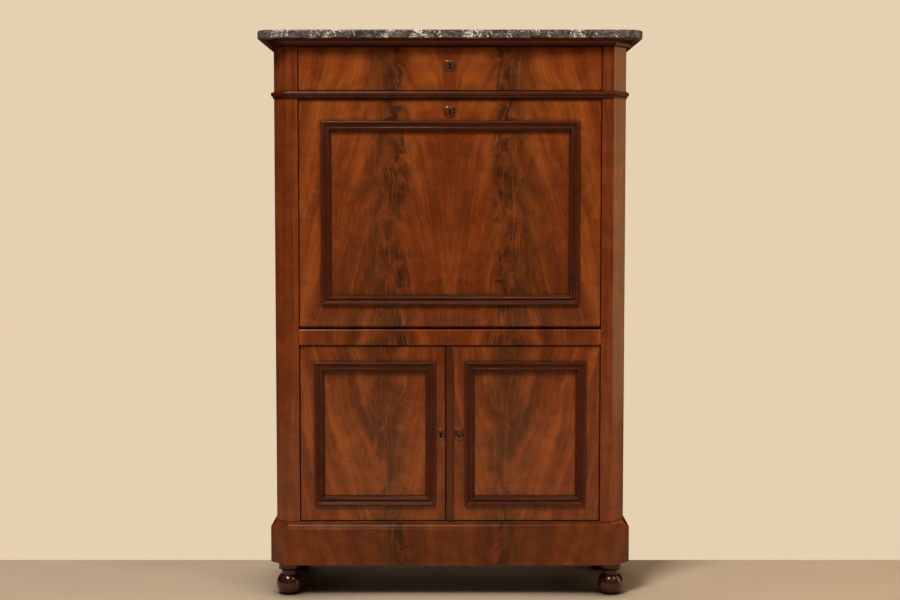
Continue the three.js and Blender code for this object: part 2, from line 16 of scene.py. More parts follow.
import bpy
import numpy as np
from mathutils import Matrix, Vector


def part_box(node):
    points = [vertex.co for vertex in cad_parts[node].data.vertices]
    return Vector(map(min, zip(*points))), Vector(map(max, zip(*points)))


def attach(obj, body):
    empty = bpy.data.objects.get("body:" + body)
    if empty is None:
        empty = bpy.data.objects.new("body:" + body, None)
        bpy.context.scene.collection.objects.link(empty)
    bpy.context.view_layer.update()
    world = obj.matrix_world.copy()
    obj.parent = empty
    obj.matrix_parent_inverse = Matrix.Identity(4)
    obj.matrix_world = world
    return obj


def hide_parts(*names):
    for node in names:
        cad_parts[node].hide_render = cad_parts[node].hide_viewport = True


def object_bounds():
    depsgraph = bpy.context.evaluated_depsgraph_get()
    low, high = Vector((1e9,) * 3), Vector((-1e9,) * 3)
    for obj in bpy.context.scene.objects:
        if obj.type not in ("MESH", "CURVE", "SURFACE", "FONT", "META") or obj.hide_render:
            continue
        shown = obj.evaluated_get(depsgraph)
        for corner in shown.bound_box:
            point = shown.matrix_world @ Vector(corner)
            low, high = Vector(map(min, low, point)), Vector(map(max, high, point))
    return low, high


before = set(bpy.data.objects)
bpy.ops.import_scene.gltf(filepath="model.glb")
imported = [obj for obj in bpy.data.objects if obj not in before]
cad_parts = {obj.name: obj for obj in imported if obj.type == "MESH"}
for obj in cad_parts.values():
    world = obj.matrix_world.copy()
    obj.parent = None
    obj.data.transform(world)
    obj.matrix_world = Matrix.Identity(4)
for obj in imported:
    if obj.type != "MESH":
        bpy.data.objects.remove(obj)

LOG = logging.getLogger("secretary_desk")
CAD_BOX = [list(corner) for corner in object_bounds()]

RUN_BEND = 38.0  # degrees: edges of a run moulding that bend less than this are shaded smooth
TURNED_BEND = 50.0  # the same for turned and domed pieces
FRAME_EDGE = 0.0018  # how far the arrises of frames and posts are rounded
THIN_EDGE = 0.0004  # the same for panels let into a frame
METAL_EDGE = 0.0005  # the same for locks and levers
MERGE_REACH = 0.00002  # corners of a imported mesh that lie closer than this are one
BOARD_BEND = 33.0  # degrees: edges of a packed board that bend less than this are shaded smooth
SHARP_BEND = 40.0  # degrees: edges of a packed board that bend more than this are rounded
GAP = 0.0003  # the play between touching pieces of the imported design

Colour = tuple[float, float, float, float]


def srgb(red: float, green: float, blue: float) -> Colour:
    """A display colour, 0 to 255 per channel, as the linear colour that shaders take."""
    channels = np.array([red, green, blue]) / 255.0
    linear = np.where(channels <= 0.04045, channels / 12.92, ((channels + 0.055) / 1.055) ** 2.4)
    return (*linear.tolist(), 1.0)


# ---- Surfaces ----


class Ends(Enum):
    """How the two ends of a skin are closed."""

    JOINED = "the last ring meets the first"
    FLAT = "a flat face at each end"
    POINT = "a fan to the middle of each end"


class Facing(Enum):
    """Which way the axis of a turned piece points."""

    UP = "z"
    FRONT = "-y"


def arc(centre: Sequence[float], radius: float, start: float, end: float, steps: int) -> np.ndarray:
    """Points on a circular arc.

    Args:
        centre: the arc's centre, as two numbers.
        radius: its radius.
        start: the angle of its first point, in degrees.
        end: the angle of its last point, in degrees.
        steps: the number of stretches between points.

    Returns:
        An array of steps + 1 rows: centre + radius * (cos angle, sin angle).
    """
    angles = np.radians(np.linspace(start, end, steps + 1))
    return np.asarray(centre) + radius * np.stack([np.cos(angles), np.sin(angles)], axis=1)


def quarter(radius: float, steps: int) -> tuple[np.ndarray, np.ndarray]:
    """A quarter round in section: how far it is drawn in, and how far it has risen, step by step.

    The two are radius * (1 - sin angle) and radius * (1 - cos angle), for angles from 0 to 90 degrees.
    """
    turn = np.radians(np.linspace(0, 90, steps + 1))
    return radius * (1 - np.sin(turn)), radius * (1 - np.cos(turn))


def skin(name: str, rings: np.ndarray, ends: Ends, smooth_below: float = RUN_BEND) -> bpy.types.Object:
    """A closed surface stretched over a row of closed rings.

    Point (i, j) is point j of ring i. It is joined to its neighbours (i, j + 1) and (i + 1, j), and the last
    point of a ring to its first.

    Args:
        name: the new object's name.
        rings: an array of shape (rings, points, 3), in metres.
        ends: how the first and the last ring are closed.
        smooth_below: edges that bend less than this angle, in degrees, are shaded smooth.

    Returns:
        The object, with its faces pointing outwards.
    """
    count, points = rings.shape[:2]
    spans = count if ends is Ends.JOINED else count - 1
    i, j = np.meshgrid(np.arange(spans), np.arange(points), indexing="ij")
    following = (j + 1) % points
    beyond = (i + 1) % count
    quad = [i * points + j, i * points + following, beyond * points + following, beyond * points + j]
    quads = np.stack(quad, axis=-1).reshape(-1, 4)
    vertices = rings.reshape(-1, 3)
    faces = quads.tolist()
    loop = np.arange(points)
    last = (count - 1) * points
    if ends is Ends.FLAT:
        faces += [loop[::-1].tolist(), (last + loop).tolist()]
    if ends is Ends.POINT:
        first = len(vertices)
        vertices = np.concatenate([vertices, [rings[0].mean(axis=0), rings[-1].mean(axis=0)]])
        after = np.roll(loop, -1)
        faces += np.stack([after, loop, np.full(points, first)], axis=1).tolist()
        faces += np.stack([last + loop, last + after, np.full(points, first + 1)], axis=1).tolist()
    a, b, c, d = (vertices[quads[:, k]] for k in range(4))
    volume = (np.cross(b - a, c - a) * a).sum() + (np.cross(c - a, d - a) * a).sum()
    if ends is not Ends.JOINED:
        middle = vertices.mean(axis=0)
        volume = (np.cross(b - a, d - a) * (a - middle)).sum()
    if volume < 0:
        faces = [face[::-1] for face in faces]
    mesh = bpy.data.meshes.new(name)
    mesh.from_pydata(vertices.tolist(), [], faces)
    mesh.shade_smooth()
    mesh.set_sharp_from_angle(angle=math.radians(smooth_below))
    piece = bpy.data.objects.new(name, mesh)
    bpy.context.scene.collection.objects.link(piece)
    return piece


def stacked(plans: np.ndarray, levels: np.ndarray) -> np.ndarray:
    """Rings from flat outlines of shape (rings, points, 2), each laid at its own height."""
    heights = np.repeat(levels[:, None, None], plans.shape[1], axis=1)
    return np.concatenate([plans, heights], axis=2)


def mitred(path: np.ndarray, proud: Sequence[float], profile: np.ndarray, closed: bool) -> np.ndarray:
    """Rings of a profile carried along a path of straight stretches and mitred where they meet.

    At a corner, the profile's across direction is the sum of the two stretches' sides divided by one plus
    their dot product, which keeps each face of the moulding flat.

    Args:
        path: the corners of the path, of shape (corners, 3).
        proud: the direction in which the profile stands proud.
        profile: its points as [across, proud], across to the right of the path.
        closed: whether the path returns to its first corner.

    Returns:
        An array of shape (corners, profile points, 3).
    """
    up = np.asarray(proud, float)
    ahead = np.roll(path, -1, axis=0) - path
    sides = np.cross(ahead / np.linalg.norm(ahead, axis=1, keepdims=True), up)
    before = np.roll(sides, 1, axis=0)
    if not closed:
        before[0] = sides[0]
        sides[-1] = before[-1]
    mitre = (before + sides) / (1 + (before * sides).sum(axis=1, keepdims=True))
    across = mitre[:, None] * profile[None, :, :1]
    return path[:, None] + across + up * profile[None, :, 1:]


def turned(profile: np.ndarray, centre: Sequence[float], around: int = 64,
           facing: Facing = Facing.UP) -> np.ndarray:
    """Rings of a turned shape: each profile point [radius, height] swept round its axis.

    Args:
        profile: points from one end of the axis to the other, with radii above zero.
        centre: where the profile's zero height lies on the axis.
        around: the number of points in each ring.
        facing: where the axis points.

    Returns:
        An array of shape (profile points, around, 3).
    """
    angles = np.linspace(0, 2 * np.pi, around, endpoint=False)
    radius, height = profile[:, :1], np.repeat(profile[:, 1:], around, axis=1)
    across, along = radius * np.cos(angles), radius * np.sin(angles)
    parts = [across, along, height] if facing is Facing.UP else [across, -height, along]
    return np.asarray(centre) + np.stack(parts, axis=-1)


def board_rings(lowest: np.ndarray, highest: np.ndarray, radius: float, steps: int = 3) -> np.ndarray:
    """The rounded rectangles of one eased board, from its front face to its back.

    Each is a rectangle in X and Z with round corners, drawn in near a face by a quarter round of the same
    radius.
    """
    drawn, depth = quarter(radius, steps)
    inset = radius + np.concatenate([drawn, drawn[::-1]])[:, None]
    y = np.concatenate([lowest[1] + depth, highest[1] - depth[::-1]])
    deep = np.repeat(y[:, None], steps + 1, axis=1)
    sides = []
    for sign_x, sign_z, start in ((1, 1, 0), (-1, 1, 90), (-1, -1, 180), (1, -1, 270)):
        x = (highest if sign_x > 0 else lowest)[0] - sign_x * inset
        z = (highest if sign_z > 0 else lowest)[2] - sign_z * inset
        bend = arc((0, 0), radius, start, start + 90, steps)
        sides.append(np.stack([x + bend[None, :, 0], deep, z + bend[None, :, 1]], axis=-1))
    return np.concatenate(sides, axis=1)


def eased_boards(name: str, boxes: np.ndarray, radius: float) -> bpy.types.Object:
    """Flat boards with rounded arrises, all in one object.

    Args:
        name: the new object's name.
        boxes: lowest and highest corners, of shape (boards, 2, 3).
        radius: how far the arrises are eased.

    Returns:
        The object.
    """
    boards = [board_rings(near, far, radius) for near, far in boxes]
    pieces = [skin(f"{name}_{k}", rings, Ends.POINT) for k, rings in enumerate(boards)]
    with bpy.context.temp_override(active_object=pieces[0], selected_editable_objects=pieces):
        bpy.ops.object.join()
    pieces[0].name = name
    pieces[0].data.name = name
    return pieces[0]


# ---- Shader graphs ----


class Term:
    """A node's output that can be added, subtracted and multiplied like a number."""

    def __init__(self, graph: "Graph", socket: bpy.types.NodeSocket) -> None:
        """Holds a socket and the graph that results are added to."""
        self.graph = graph
        self.socket = socket

    def __add__(self, other: "Value") -> "Term":
        """This value plus another."""
        return self.graph.maths("ADD", self, other)

    def __sub__(self, other: "Value") -> "Term":
        """This value less another."""
        return self.graph.maths("SUBTRACT", self, other)

    def __rsub__(self, other: "Value") -> "Term":
        """Another value less this one."""
        return self.graph.maths("SUBTRACT", other, self)

    def __mul__(self, other: "Value") -> "Term":
        """This value times another."""
        return self.graph.maths("MULTIPLY", self, other)

    __radd__ = __add__
    __rmul__ = __mul__


Value = Union[float, Sequence[float], Term]


class Graph:
    """A node tree while it is laid out, with short names for the nodes that the finishes use."""

    def __init__(self, tree: bpy.types.NodeTree) -> None:
        """Takes the tree to add nodes to."""
        self.tree = tree

    def add(self, kind: str, **settings: object) -> bpy.types.Node:
        """A new node of a kind, with its properties set."""
        node = self.tree.nodes.new(kind)
        for key, value in settings.items():
            setattr(node, key, value)
        return node

    def out(self, node: bpy.types.Node, key: Union[int, str] = 0) -> Term:
        """One of a node's outputs."""
        return Term(self, node.outputs[key])

    def feed(self, socket: bpy.types.NodeSocket, value: Value) -> None:
        """Links a socket to a term, or sets its value."""
        if isinstance(value, Term):
            self.tree.links.new(value.socket, socket)
        else:
            socket.default_value = value

    def maths(self, operation: str, *values: Value, clamp: bool = False) -> Term:
        """The result of a Math node."""
        node = self.add("ShaderNodeMath", operation=operation, use_clamp=clamp)
        for socket, value in zip(node.inputs, values):
            self.feed(socket, value)
        return self.out(node)

    def split(self, vector: Value) -> tuple[Term, ...]:
        """The X, Y and Z of a vector."""
        node = self.add("ShaderNodeSeparateXYZ")
        self.feed(node.inputs[0], vector)
        return tuple(self.out(node, index) for index in range(3))

    def combine(self, x: Value, y: Value, z: Value) -> Term:
        """A vector from three values."""
        node = self.add("ShaderNodeCombineXYZ")
        for socket, value in zip(node.inputs, (x, y, z)):
            self.feed(socket, value)
        return self.out(node)

    def stretched(self, x: Value, y: Value, z: Value, scales: Sequence[float]) -> Term:
        """A vector whose three values are each multiplied by a scale."""
        node = self.add("ShaderNodeVectorMath", operation="MULTIPLY")
        self.feed(node.inputs[0], self.combine(x, y, z))
        node.inputs[1].default_value = scales
        return self.out(node)

    def noise(self, vector: Value, scale: float = 1.0, detail: float = 3.0, rough: float = 0.5,
              bend: float = 0.0) -> Term:
        """Smooth noise from 0 to 1, mostly near one half."""
        node = self.add("ShaderNodeTexNoise")
        self.feed(node.inputs["Vector"], vector)
        for key, value in (("Scale", scale), ("Detail", detail), ("Roughness", rough), ("Distortion", bend)):
            node.inputs[key].default_value = value
        return self.out(node)

    def band(self, value: Value, low: float = 0.3, high: float = 0.7, start: float = 0.0,
             end: float = 1.0) -> Term:
        """A smooth step from start, where value is low, to end, where it is high."""
        node = self.add("ShaderNodeMapRange", interpolation_type="SMOOTHSTEP")
        for socket, given in zip(node.inputs, (value, low, high, start, end)):
            self.feed(socket, given)
        return self.out(node)

    def hill(self, distance: Value, width: Value) -> Term:
        """A bell curve: e to the power of minus the square of distance over width."""
        ratio = self.maths("DIVIDE", distance, width)
        return self.maths("POWER", math.e, ratio * ratio * -1.0)

    def mix(self, share: Value, first: Value, second: Value, mode: str = "MIX") -> Term:
        """Two colours mixed by a share of the second."""
        node = self.add("ShaderNodeMix", data_type="RGBA", blend_type=mode)
        for index, value in ((0, share), (6, first), (7, second)):
            self.feed(node.inputs[index], value)
        return self.out(node, 2)

    def shaded(self, colour: Value, shade: Value) -> Term:
        """A colour multiplied by a shade."""
        return self.mix(1.0, colour, self.combine(shade, shade, shade), "MULTIPLY")

    def ramp(self, value: Value, stops: Iterable[tuple[float, Colour]]) -> Term:
        """A colour that runs through stops as value goes from 0 to 1."""
        node = self.add("ShaderNodeValToRGB")
        self.feed(node.inputs[0], value)
        elements = node.color_ramp.elements
        for index, (place, colour) in enumerate(stops):
            element = elements[index] if index < 2 else elements.new(place)
            element.position = place
            element.color = colour
        return self.out(node)

    def bump(self, height: Value, depth: float, strength: float) -> Term:
        """A normal tilted by a height of 0 to 1 that stands for a depth in metres."""
        node = self.add("ShaderNodeBump")
        node.inputs["Strength"].default_value = strength
        node.inputs["Distance"].default_value = depth
        self.feed(node.inputs["Height"], height)
        return self.out(node)

    def hidden(self, reach: Value) -> Term:
        """How open the surroundings are within a reach: 1 in the open, less in a corner."""
        node = self.add("ShaderNodeAmbientOcclusion", samples=6)
        self.feed(node.inputs["Distance"], reach)
        return self.out(node, "AO")

    def place(self) -> Term:
        """The shaded point in the desk's own frame."""
        return self.out(self.add("ShaderNodeTexCoord"), "Object")

    def group(self, tree: bpy.types.NodeTree, **values: Value) -> dict[str, Term]:
        """Places a node group and returns its outputs by name."""
        node = self.add("ShaderNodeGroup", node_tree=tree)
        for key, value in values.items():
            self.feed(node.inputs[key], value)
        return {socket.name: Term(self, socket) for socket in node.outputs}


class GroupMaker:
    """A shader node group under construction, with named inputs and outputs."""

    def __init__(self, name: str, inputs: dict[str, float], outputs: Sequence[str]) -> None:
        """Makes the group with a Vector input, the float inputs given and float outputs."""
        self.tree = bpy.data.node_groups.new(name, "ShaderNodeTree")
        faces = self.tree.interface
        faces.new_socket("Vector", in_out="INPUT", socket_type="NodeSocketVector")
        for key, default in inputs.items():
            faces.new_socket(key, in_out="INPUT", socket_type="NodeSocketFloat").default_value = default
        for key in outputs:
            faces.new_socket(key, in_out="OUTPUT", socket_type="NodeSocketFloat")
        self.graph = Graph(self.tree)
        sockets = self.graph.add("NodeGroupInput").outputs
        self.given = {socket.name: Term(self.graph, socket) for socket in sockets}

    def give(self, **results: Term) -> bpy.types.NodeTree:
        """Links the results to the outputs and returns the group."""
        node = self.graph.add("NodeGroupOutput")
        for key, result in results.items():
            self.graph.feed(node.inputs[key], result)
        return self.tree


@cache
def flame_figure() -> bpy.types.NodeTree:
    """The crotch figure of a book-matched veneer, in X and Z.

    On each side of the match line stands a plume. A grain line is where distance from the plume's spine plus
    lean times height is constant, so lines lean up to the spine from both sides, or down to it where Turn
    is -1. Lean falls off faster on the side of the match line, where the lines end almost upright. The plume
    is a bell curve across its spine, wider on its outer side, where it also spreads towards its foot. Its
    edges follow the grain lines, and it is darkest in blots along its inner edge.

    Returns:
        A group that gives the masks that a veneer is mixed from, each from 0 to 1.
    """
    inputs = {"Match": 0.0, "Plume": 0.17, "Middle": 1.0, "Turn": 1.0, "Spread": 0.03, "Seed": 0.0}
    masks = ("Broad", "Streak", "Fine", "Gleam", "Plume", "Blot", "Thread", "Ripple", "Pore")
    made = GroupMaker("flame_figure", inputs, masks)
    g, given = made.graph, made.given
    x, _, z = g.split(given["Vector"])
    seed = given["Seed"]
    from_match = x - given["Match"]
    across = g.maths("ABSOLUTE", from_match)
    half = g.maths("SIGN", from_match)
    sway = g.noise(g.stretched(given["Turn"], seed, z, (0.3, 1.0, 5.0)), detail=2.0)
    uneven = g.noise(g.stretched(half, seed, z, (0.15, 1.0, 7.0)), detail=2.0)
    aside = across - given["Plume"] + ((sway - 0.5) * 0.045 + (uneven - 0.5) * 0.02)
    away = g.maths("SQRT", aside * aside + 0.0002)
    outer = g.band(aside, -0.02, 0.02)
    lean = g.maths("MAXIMUM", 0.36 - away * (1.7 - outer), 0.04)
    height = (z - given["Middle"]) * given["Turn"]
    near = g.hill(away, 0.045)
    warp = g.noise(g.stretched(across, seed, z, (8.0, 1.0, 5.0)), bend=0.6)
    line = away + height * lean + (warp - 0.5) * (near * 0.1 + 0.02)
    broad = g.noise(g.stretched(line, seed, z, (20.0, 1.0, 2.0)), detail=2.0)
    streak = g.noise(g.stretched(line, seed, z, (85.0, 1.0, 3.5)), rough=0.55, bend=0.2)
    fine = g.noise(g.stretched(line, half, z, (420.0, 0.1, 9.0)), rough=0.6)
    pore = g.noise(g.stretched(line, half, z, (1500.0, 0.1, 70.0)), detail=2.0)
    ripple = g.noise(g.stretched(across, line, z, (16.0, 8.0, 22.0)), rough=0.55, bend=0.8)
    gleam = g.noise(g.stretched(line, seed, z, (170.0, 1.0, 2.6)), detail=1.0, bend=0.2)
    broken = g.noise(g.stretched(line, seed, z, (60.0, 1.0, 14.0)), detail=2.0)
    ragged = aside + ((broad - 0.5) * 0.1 + (streak - 0.5) * 0.05)
    footed = outer * g.band(height, 0.3, -0.25, 0.1, 1.1)
    core = g.hill(ragged, given["Spread"] * (footed + 0.95))
    clouds = g.noise(g.stretched(across, seed, z, (20.0, 1.0, 11.0)), detail=4.0, rough=0.6, bend=1.2)
    blots = g.noise(g.stretched(ragged, half, z, (42.0, 0.2, 17.0)), detail=4.0, bend=0.9)
    threads = g.noise(g.stretched(aside, half, z, (300.0, 0.2, 9.0)), detail=2.0, bend=0.4)
    return made.give(
        Broad=g.band(broad - g.hill(across, 0.05) * 0.13),
        Streak=g.band(streak),
        Fine=g.band(fine),
        Gleam=g.band(gleam, 0.56, 0.74) * g.band(broken, 0.4, 0.6) * (1.0 - near * 0.7),
        Plume=g.maths("MULTIPLY", core, g.band(clouds, 0.34, 0.6, 0.42, 1.0), clamp=True),
        Blot=g.hill(aside + 0.04, 0.028) * g.band(blots, 0.42, 0.6),
        Thread=core * g.band(threads, 0.56, 0.7),
        Ripple=g.band(ripple),
        Pore=g.band(pore, 0.52, 0.72),
    )


@cache
def straight_figure() -> bpy.types.NodeTree:
    """The figure of plain timber whose grain runs along Z, with a slow sway and a few broader bands.

    Returns:
        A group that gives Streak, Fine, Ripple and Pore, each from 0 to 1.
    """
    made = GroupMaker("straight_figure", {"Coarse": 60.0}, ("Streak", "Fine", "Ripple", "Pore"))
    g, given = made.graph, made.given
    x, y, z = g.split(given["Vector"])
    shift = g.noise(g.stretched(x, y, z, (3.0, 3.0, 1.6)), detail=2.0) * 0.03
    side, depth = x + shift, y + shift
    wide = g.combine(side * given["Coarse"], depth * given["Coarse"], z * 2.2)
    streak = g.noise(wide, detail=4.0, rough=0.6, bend=0.2)
    fine = g.noise(g.stretched(side, depth, z, (420.0, 420.0, 8.0)), rough=0.6)
    pore = g.noise(g.stretched(side, depth, z, (1500.0, 1500.0, 60.0)), detail=2.0)
    ripple = g.noise(g.stretched(side, depth, z, (12.0, 12.0, 20.0)), bend=0.8)
    return made.give(
        Streak=g.band(streak),
        Fine=g.band(fine),
        Ripple=g.band(ripple),
        Pore=g.band(pore, 0.52, 0.72),
    )


@cache
def handled_polish() -> bpy.types.NodeTree:
    """What years of wax and hands leave on a polish: cloudy dull patches and a faint unevenness.

    Returns:
        A group that gives Dull, from 0 to 1, and Height, from 0 to 1.
    """
    made = GroupMaker("handled_polish", {"Cloud": 6.0}, ("Dull", "Height"))
    g, given = made.graph, made.given
    scaled = g.add("ShaderNodeVectorMath", operation="SCALE")
    g.feed(scaled.inputs[0], given["Vector"])
    g.feed(scaled.inputs["Scale"], given["Cloud"])
    patches = g.band(g.noise(g.out(scaled), detail=5.0, rough=0.65), 0.4, 0.7, 0.0, 0.7)
    specks = g.band(g.noise(given["Vector"], scale=260.0, detail=2.0), 0.6, 0.75, 0.0, 0.3)
    waves = g.noise(given["Vector"], scale=28.0, detail=2.0)
    return made.give(Dull=g.maths("ADD", patches, specks, clamp=True), Height=waves)


@cache
def edge_wear() -> bpy.types.NodeTree:
    """Where arrises are rubbed: the rounded normal of a Bevel node leaves the true one near an edge.

    Returns:
        A group that gives Worn, from 0 to 1, broken up by noise.
    """
    made = GroupMaker("edge_wear", {"Reach": 0.0015}, ("Worn",))
    g, given = made.graph, made.given
    bevel = g.add("ShaderNodeBevel", samples=4)
    g.feed(bevel.inputs["Radius"], given["Reach"])
    dot = g.add("ShaderNodeVectorMath", operation="DOT_PRODUCT")
    g.feed(dot.inputs[0], g.out(bevel))
    g.feed(dot.inputs[1], g.out(g.add("ShaderNodeNewGeometry"), "Normal"))
    edge = g.band(g.out(dot, "Value"), 0.995, 0.9)
    return made.give(Worn=edge * g.band(g.noise(given["Vector"], scale=45.0, detail=4.0), 0.42, 0.62))


@cache
def grime_and_crevice_shade() -> bpy.types.NodeTree:
    """Old wax and dust in corners, and painted shade: darker where a surface is hidden from its surroundings,
    in patches.

    Returns:
        A group that gives a mask from 0 to 1 of dirt and painted shade in corners.
    """
    made = GroupMaker("grime_and_crevice_shade", {"Reach": 0.012}, ("Dirt",))
    g, given = made.graph, made.given
    # painted shade: ambient occlusion darkens corners, gaps and recesses where shade falls, broken into
    # patches like old wax
    corner = g.band(g.hidden(given["Reach"]), 0.97, 0.4)
    patchy = g.band(g.noise(given["Vector"], scale=30.0, detail=4.0), 0.35, 0.65, 0.6, 1.0)
    return made.give(Dirt=corner * patchy)


# ---- Finishes ----


class Grain(Enum):
    """The way a timber's grain runs, as the order in which its figure takes X, Y and Z."""

    UPRIGHT = (0, 1, 2)
    ACROSS = (2, 1, 0)


class Finish(ABC):
    """A surface finish that lays its own nodes around a Principled shader."""

    name: str

    @abstractmethod
    def lay(self, g: Graph, shader: bpy.types.Node) -> None:
        """Adds the finish's nodes and links them to the shader."""


@cache
def material_of(finish: Finish) -> bpy.types.Material:
    """The material of a finish, made once."""
    material = bpy.data.materials.new(finish.name)
    material.use_nodes = True
    material.node_tree.nodes.clear()
    g = Graph(material.node_tree)
    shader = g.add("ShaderNodeBsdfPrincipled")
    g.feed(g.add("ShaderNodeOutputMaterial").inputs["Surface"], g.out(shader))
    finish.lay(g, shader)
    return material


@dataclass(frozen=True)
class Polish:
    """A film of French polish over timber: how glossy and dulled it is, and dirt and painted shade in its
    corners.
    """

    rough: float = 0.3
    dulled: float = 0.14
    coat: float = 0.4
    coat_rough: float = 0.12
    specular: float = 0.35
    sheen_tone: Colour = srgb(255, 214, 180)
    rubbed_through: float = 0.45
    # darkening of corners and gaps: old wax and dust, together with painted shade
    grime_and_shade: float = 0.8
    grime_and_shade_colour: Colour = srgb(24, 14, 9)
    grain_share: float = 0.25
    relief: float = 0.0004
    relief_strength: float = 0.35

    def lay(self, g: Graph, shader: bpy.types.Node, colour: Value, grain: Value, rubbed: Colour) -> None:
        """Links a timber's colour and grain height to the shader, under this polish.

        Args:
            g: the material's graph.
            shader: its Principled shader.
            colour: the timber's colour.
            grain: a height of 0 to 1 for the grain that shows through the film.
            rubbed: the colour of the arrises where the film has worn off.
        """
        place = g.place()
        handled = g.group(handled_polish(), Vector=place)
        worn = g.group(edge_wear(), Vector=place)["Worn"]
        # dirt and painted shade: the colour darkens in corners, gaps and recesses
        dirt_and_shade = g.group(grime_and_crevice_shade(), Vector=place)["Dirt"]
        base = g.mix(worn * self.rubbed_through, colour, rubbed)
        g.feed(shader.inputs["Base Color"], g.mix(dirt_and_shade * self.grime_and_shade, base, self.grime_and_shade_colour))
        g.feed(shader.inputs["Roughness"], handled["Dull"] * self.dulled + self.rough)
        shader.inputs["Specular IOR Level"].default_value = self.specular
        shader.inputs["Specular Tint"].default_value = self.sheen_tone
        shader.inputs["Coat Weight"].default_value = self.coat
        shader.inputs["Coat Roughness"].default_value = self.coat_rough
        height = grain * self.grain_share + handled["Height"]
        g.feed(shader.inputs["Normal"], g.bump(height, self.relief, self.relief_strength))


@dataclass(frozen=True)
class FlameVeneer(Finish):
    """Book-matched flame mahogany with a dark plume on each side of its match line."""

    name: str
    match: float = 0.0
    plume: float = 0.175
    middle: float = 1.04
    turn: float = 1.0
    spread: float = 0.05
    seed: float = 0.0
    along_depth: bool = False
    gleam: Colour = srgb(176, 98, 44)
    pale: Colour = srgb(156, 80, 30)
    warm: Colour = srgb(130, 60, 20)
    deep: Colour = srgb(104, 44, 14)
    plume_colour: Colour = srgb(68, 38, 18)
    blot_colour: Colour = srgb(34, 22, 13)
    pore_colour: Colour = srgb(56, 26, 12)
    plumed: float = 0.85
    blotted: float = 0.8
    threaded: float = 0.55
    gleaming: float = 0.4
    pored: float = 0.25
    polish: Polish = Polish()

    def lay(self, g: Graph, shader: bpy.types.Node) -> None:
        """Mixes the figure's streaks, then its masks one over another, into the colour of the veneer."""
        x, y, z = g.split(g.place())
        place = g.combine(y if self.along_depth else x, x, z)
        figure = g.group(flame_figure(), Vector=place, Match=self.match, Plume=self.plume, Middle=self.middle,
                         Turn=self.turn, Spread=self.spread, Seed=self.seed)
        tone = figure["Broad"] * 0.64 + figure["Streak"] * 0.23 + figure["Fine"] * 0.13
        colour = g.ramp(tone, ((0.1, self.deep), (0.9, self.pale), (0.5, self.warm)))
        colour = g.shaded(colour, g.band(figure["Ripple"], 0.0, 1.0, 0.84, 1.14))
        layers = {
            "Plume": (self.plumed, self.plume_colour),
            "Blot": (self.blotted, self.blot_colour),
            "Thread": (self.threaded, self.pale),
            "Gleam": (self.gleaming, self.gleam),
            "Pore": (self.pored, self.pore_colour),
        }
        for mask, (share, layer) in layers.items():
            colour = g.mix(figure[mask] * share, colour, layer)
        self.polish.lay(g, shader, colour, figure["Fine"], self.pale)


@dataclass(frozen=True)
class StraightTimber(Finish):
    """Timber or veneer with a plain grain."""

    name: str
    pale: Colour
    deep: Colour
    grain: Grain = Grain.UPRIGHT
    coarse: float = 60.0
    polish: Polish = Polish()

    def lay(self, g: Graph, shader: bpy.types.Node) -> None:
        """Turns the grain its way and mixes its streaks and pores into the colour."""
        point = g.split(g.place())
        place = g.combine(*(point[index] for index in self.grain.value))
        figure = g.group(straight_figure(), Vector=place, Coarse=self.coarse)
        colour = g.ramp(figure["Streak"] * 0.6 + figure["Fine"] * 0.4, ((0.05, self.deep), (0.95, self.pale)))
        colour = g.shaded(colour, g.band(figure["Ripple"], 0.0, 1.0, 0.86, 1.12))
        colour = g.mix(figure["Pore"] * 0.35, colour, self.deep)
        self.polish.lay(g, shader, colour, figure["Fine"], self.pale)


@dataclass(frozen=True)
class Marble(Finish):
    """Dark grey marble, clouded and veined, with pale flecks in drifts."""

    name: str = "dark_flecked_marble"
    ground: Colour = srgb(52, 46, 46)
    cloud: Colour = srgb(92, 82, 80)
    fleck: Colour = srgb(232, 222, 210)
    rough: float = 0.26
    dulled: float = 0.2

    def lay(self, g: Graph, shader: bpy.types.Node) -> None:
        """Lays clouds, then torn flecks gathered in drifts, then thin veins over the ground."""
        place = g.place()
        clouds = g.noise(place, scale=30.0, detail=6.0, rough=0.62, bend=1.5)
        colour = g.ramp(clouds, ((0.35, self.ground), (0.7, self.cloud)))
        drift = g.band(g.noise(place, scale=16.0, bend=0.8), 0.42, 0.62)
        torn = g.noise(place, scale=88.0, detail=4.0, rough=0.55, bend=2.2)
        chips = g.band(torn + drift * 0.16, 0.66, 0.71)
        veins = g.noise(place, scale=20.0, detail=8.0, rough=0.7, bend=2.2)
        thread = g.band(g.maths("ABSOLUTE", veins - 0.5), 0.012, 0.0)
        pale = g.maths("MAXIMUM", chips, thread * 0.6, clamp=True)
        g.feed(shader.inputs["Base Color"], g.mix(pale, colour, self.fleck))
        handled = g.group(handled_polish(), Vector=place, Cloud=9.0)
        g.feed(shader.inputs["Roughness"], handled["Dull"] * self.dulled + self.rough)
        g.feed(shader.inputs["Normal"], g.bump(handled["Height"], 0.0002, 0.3))


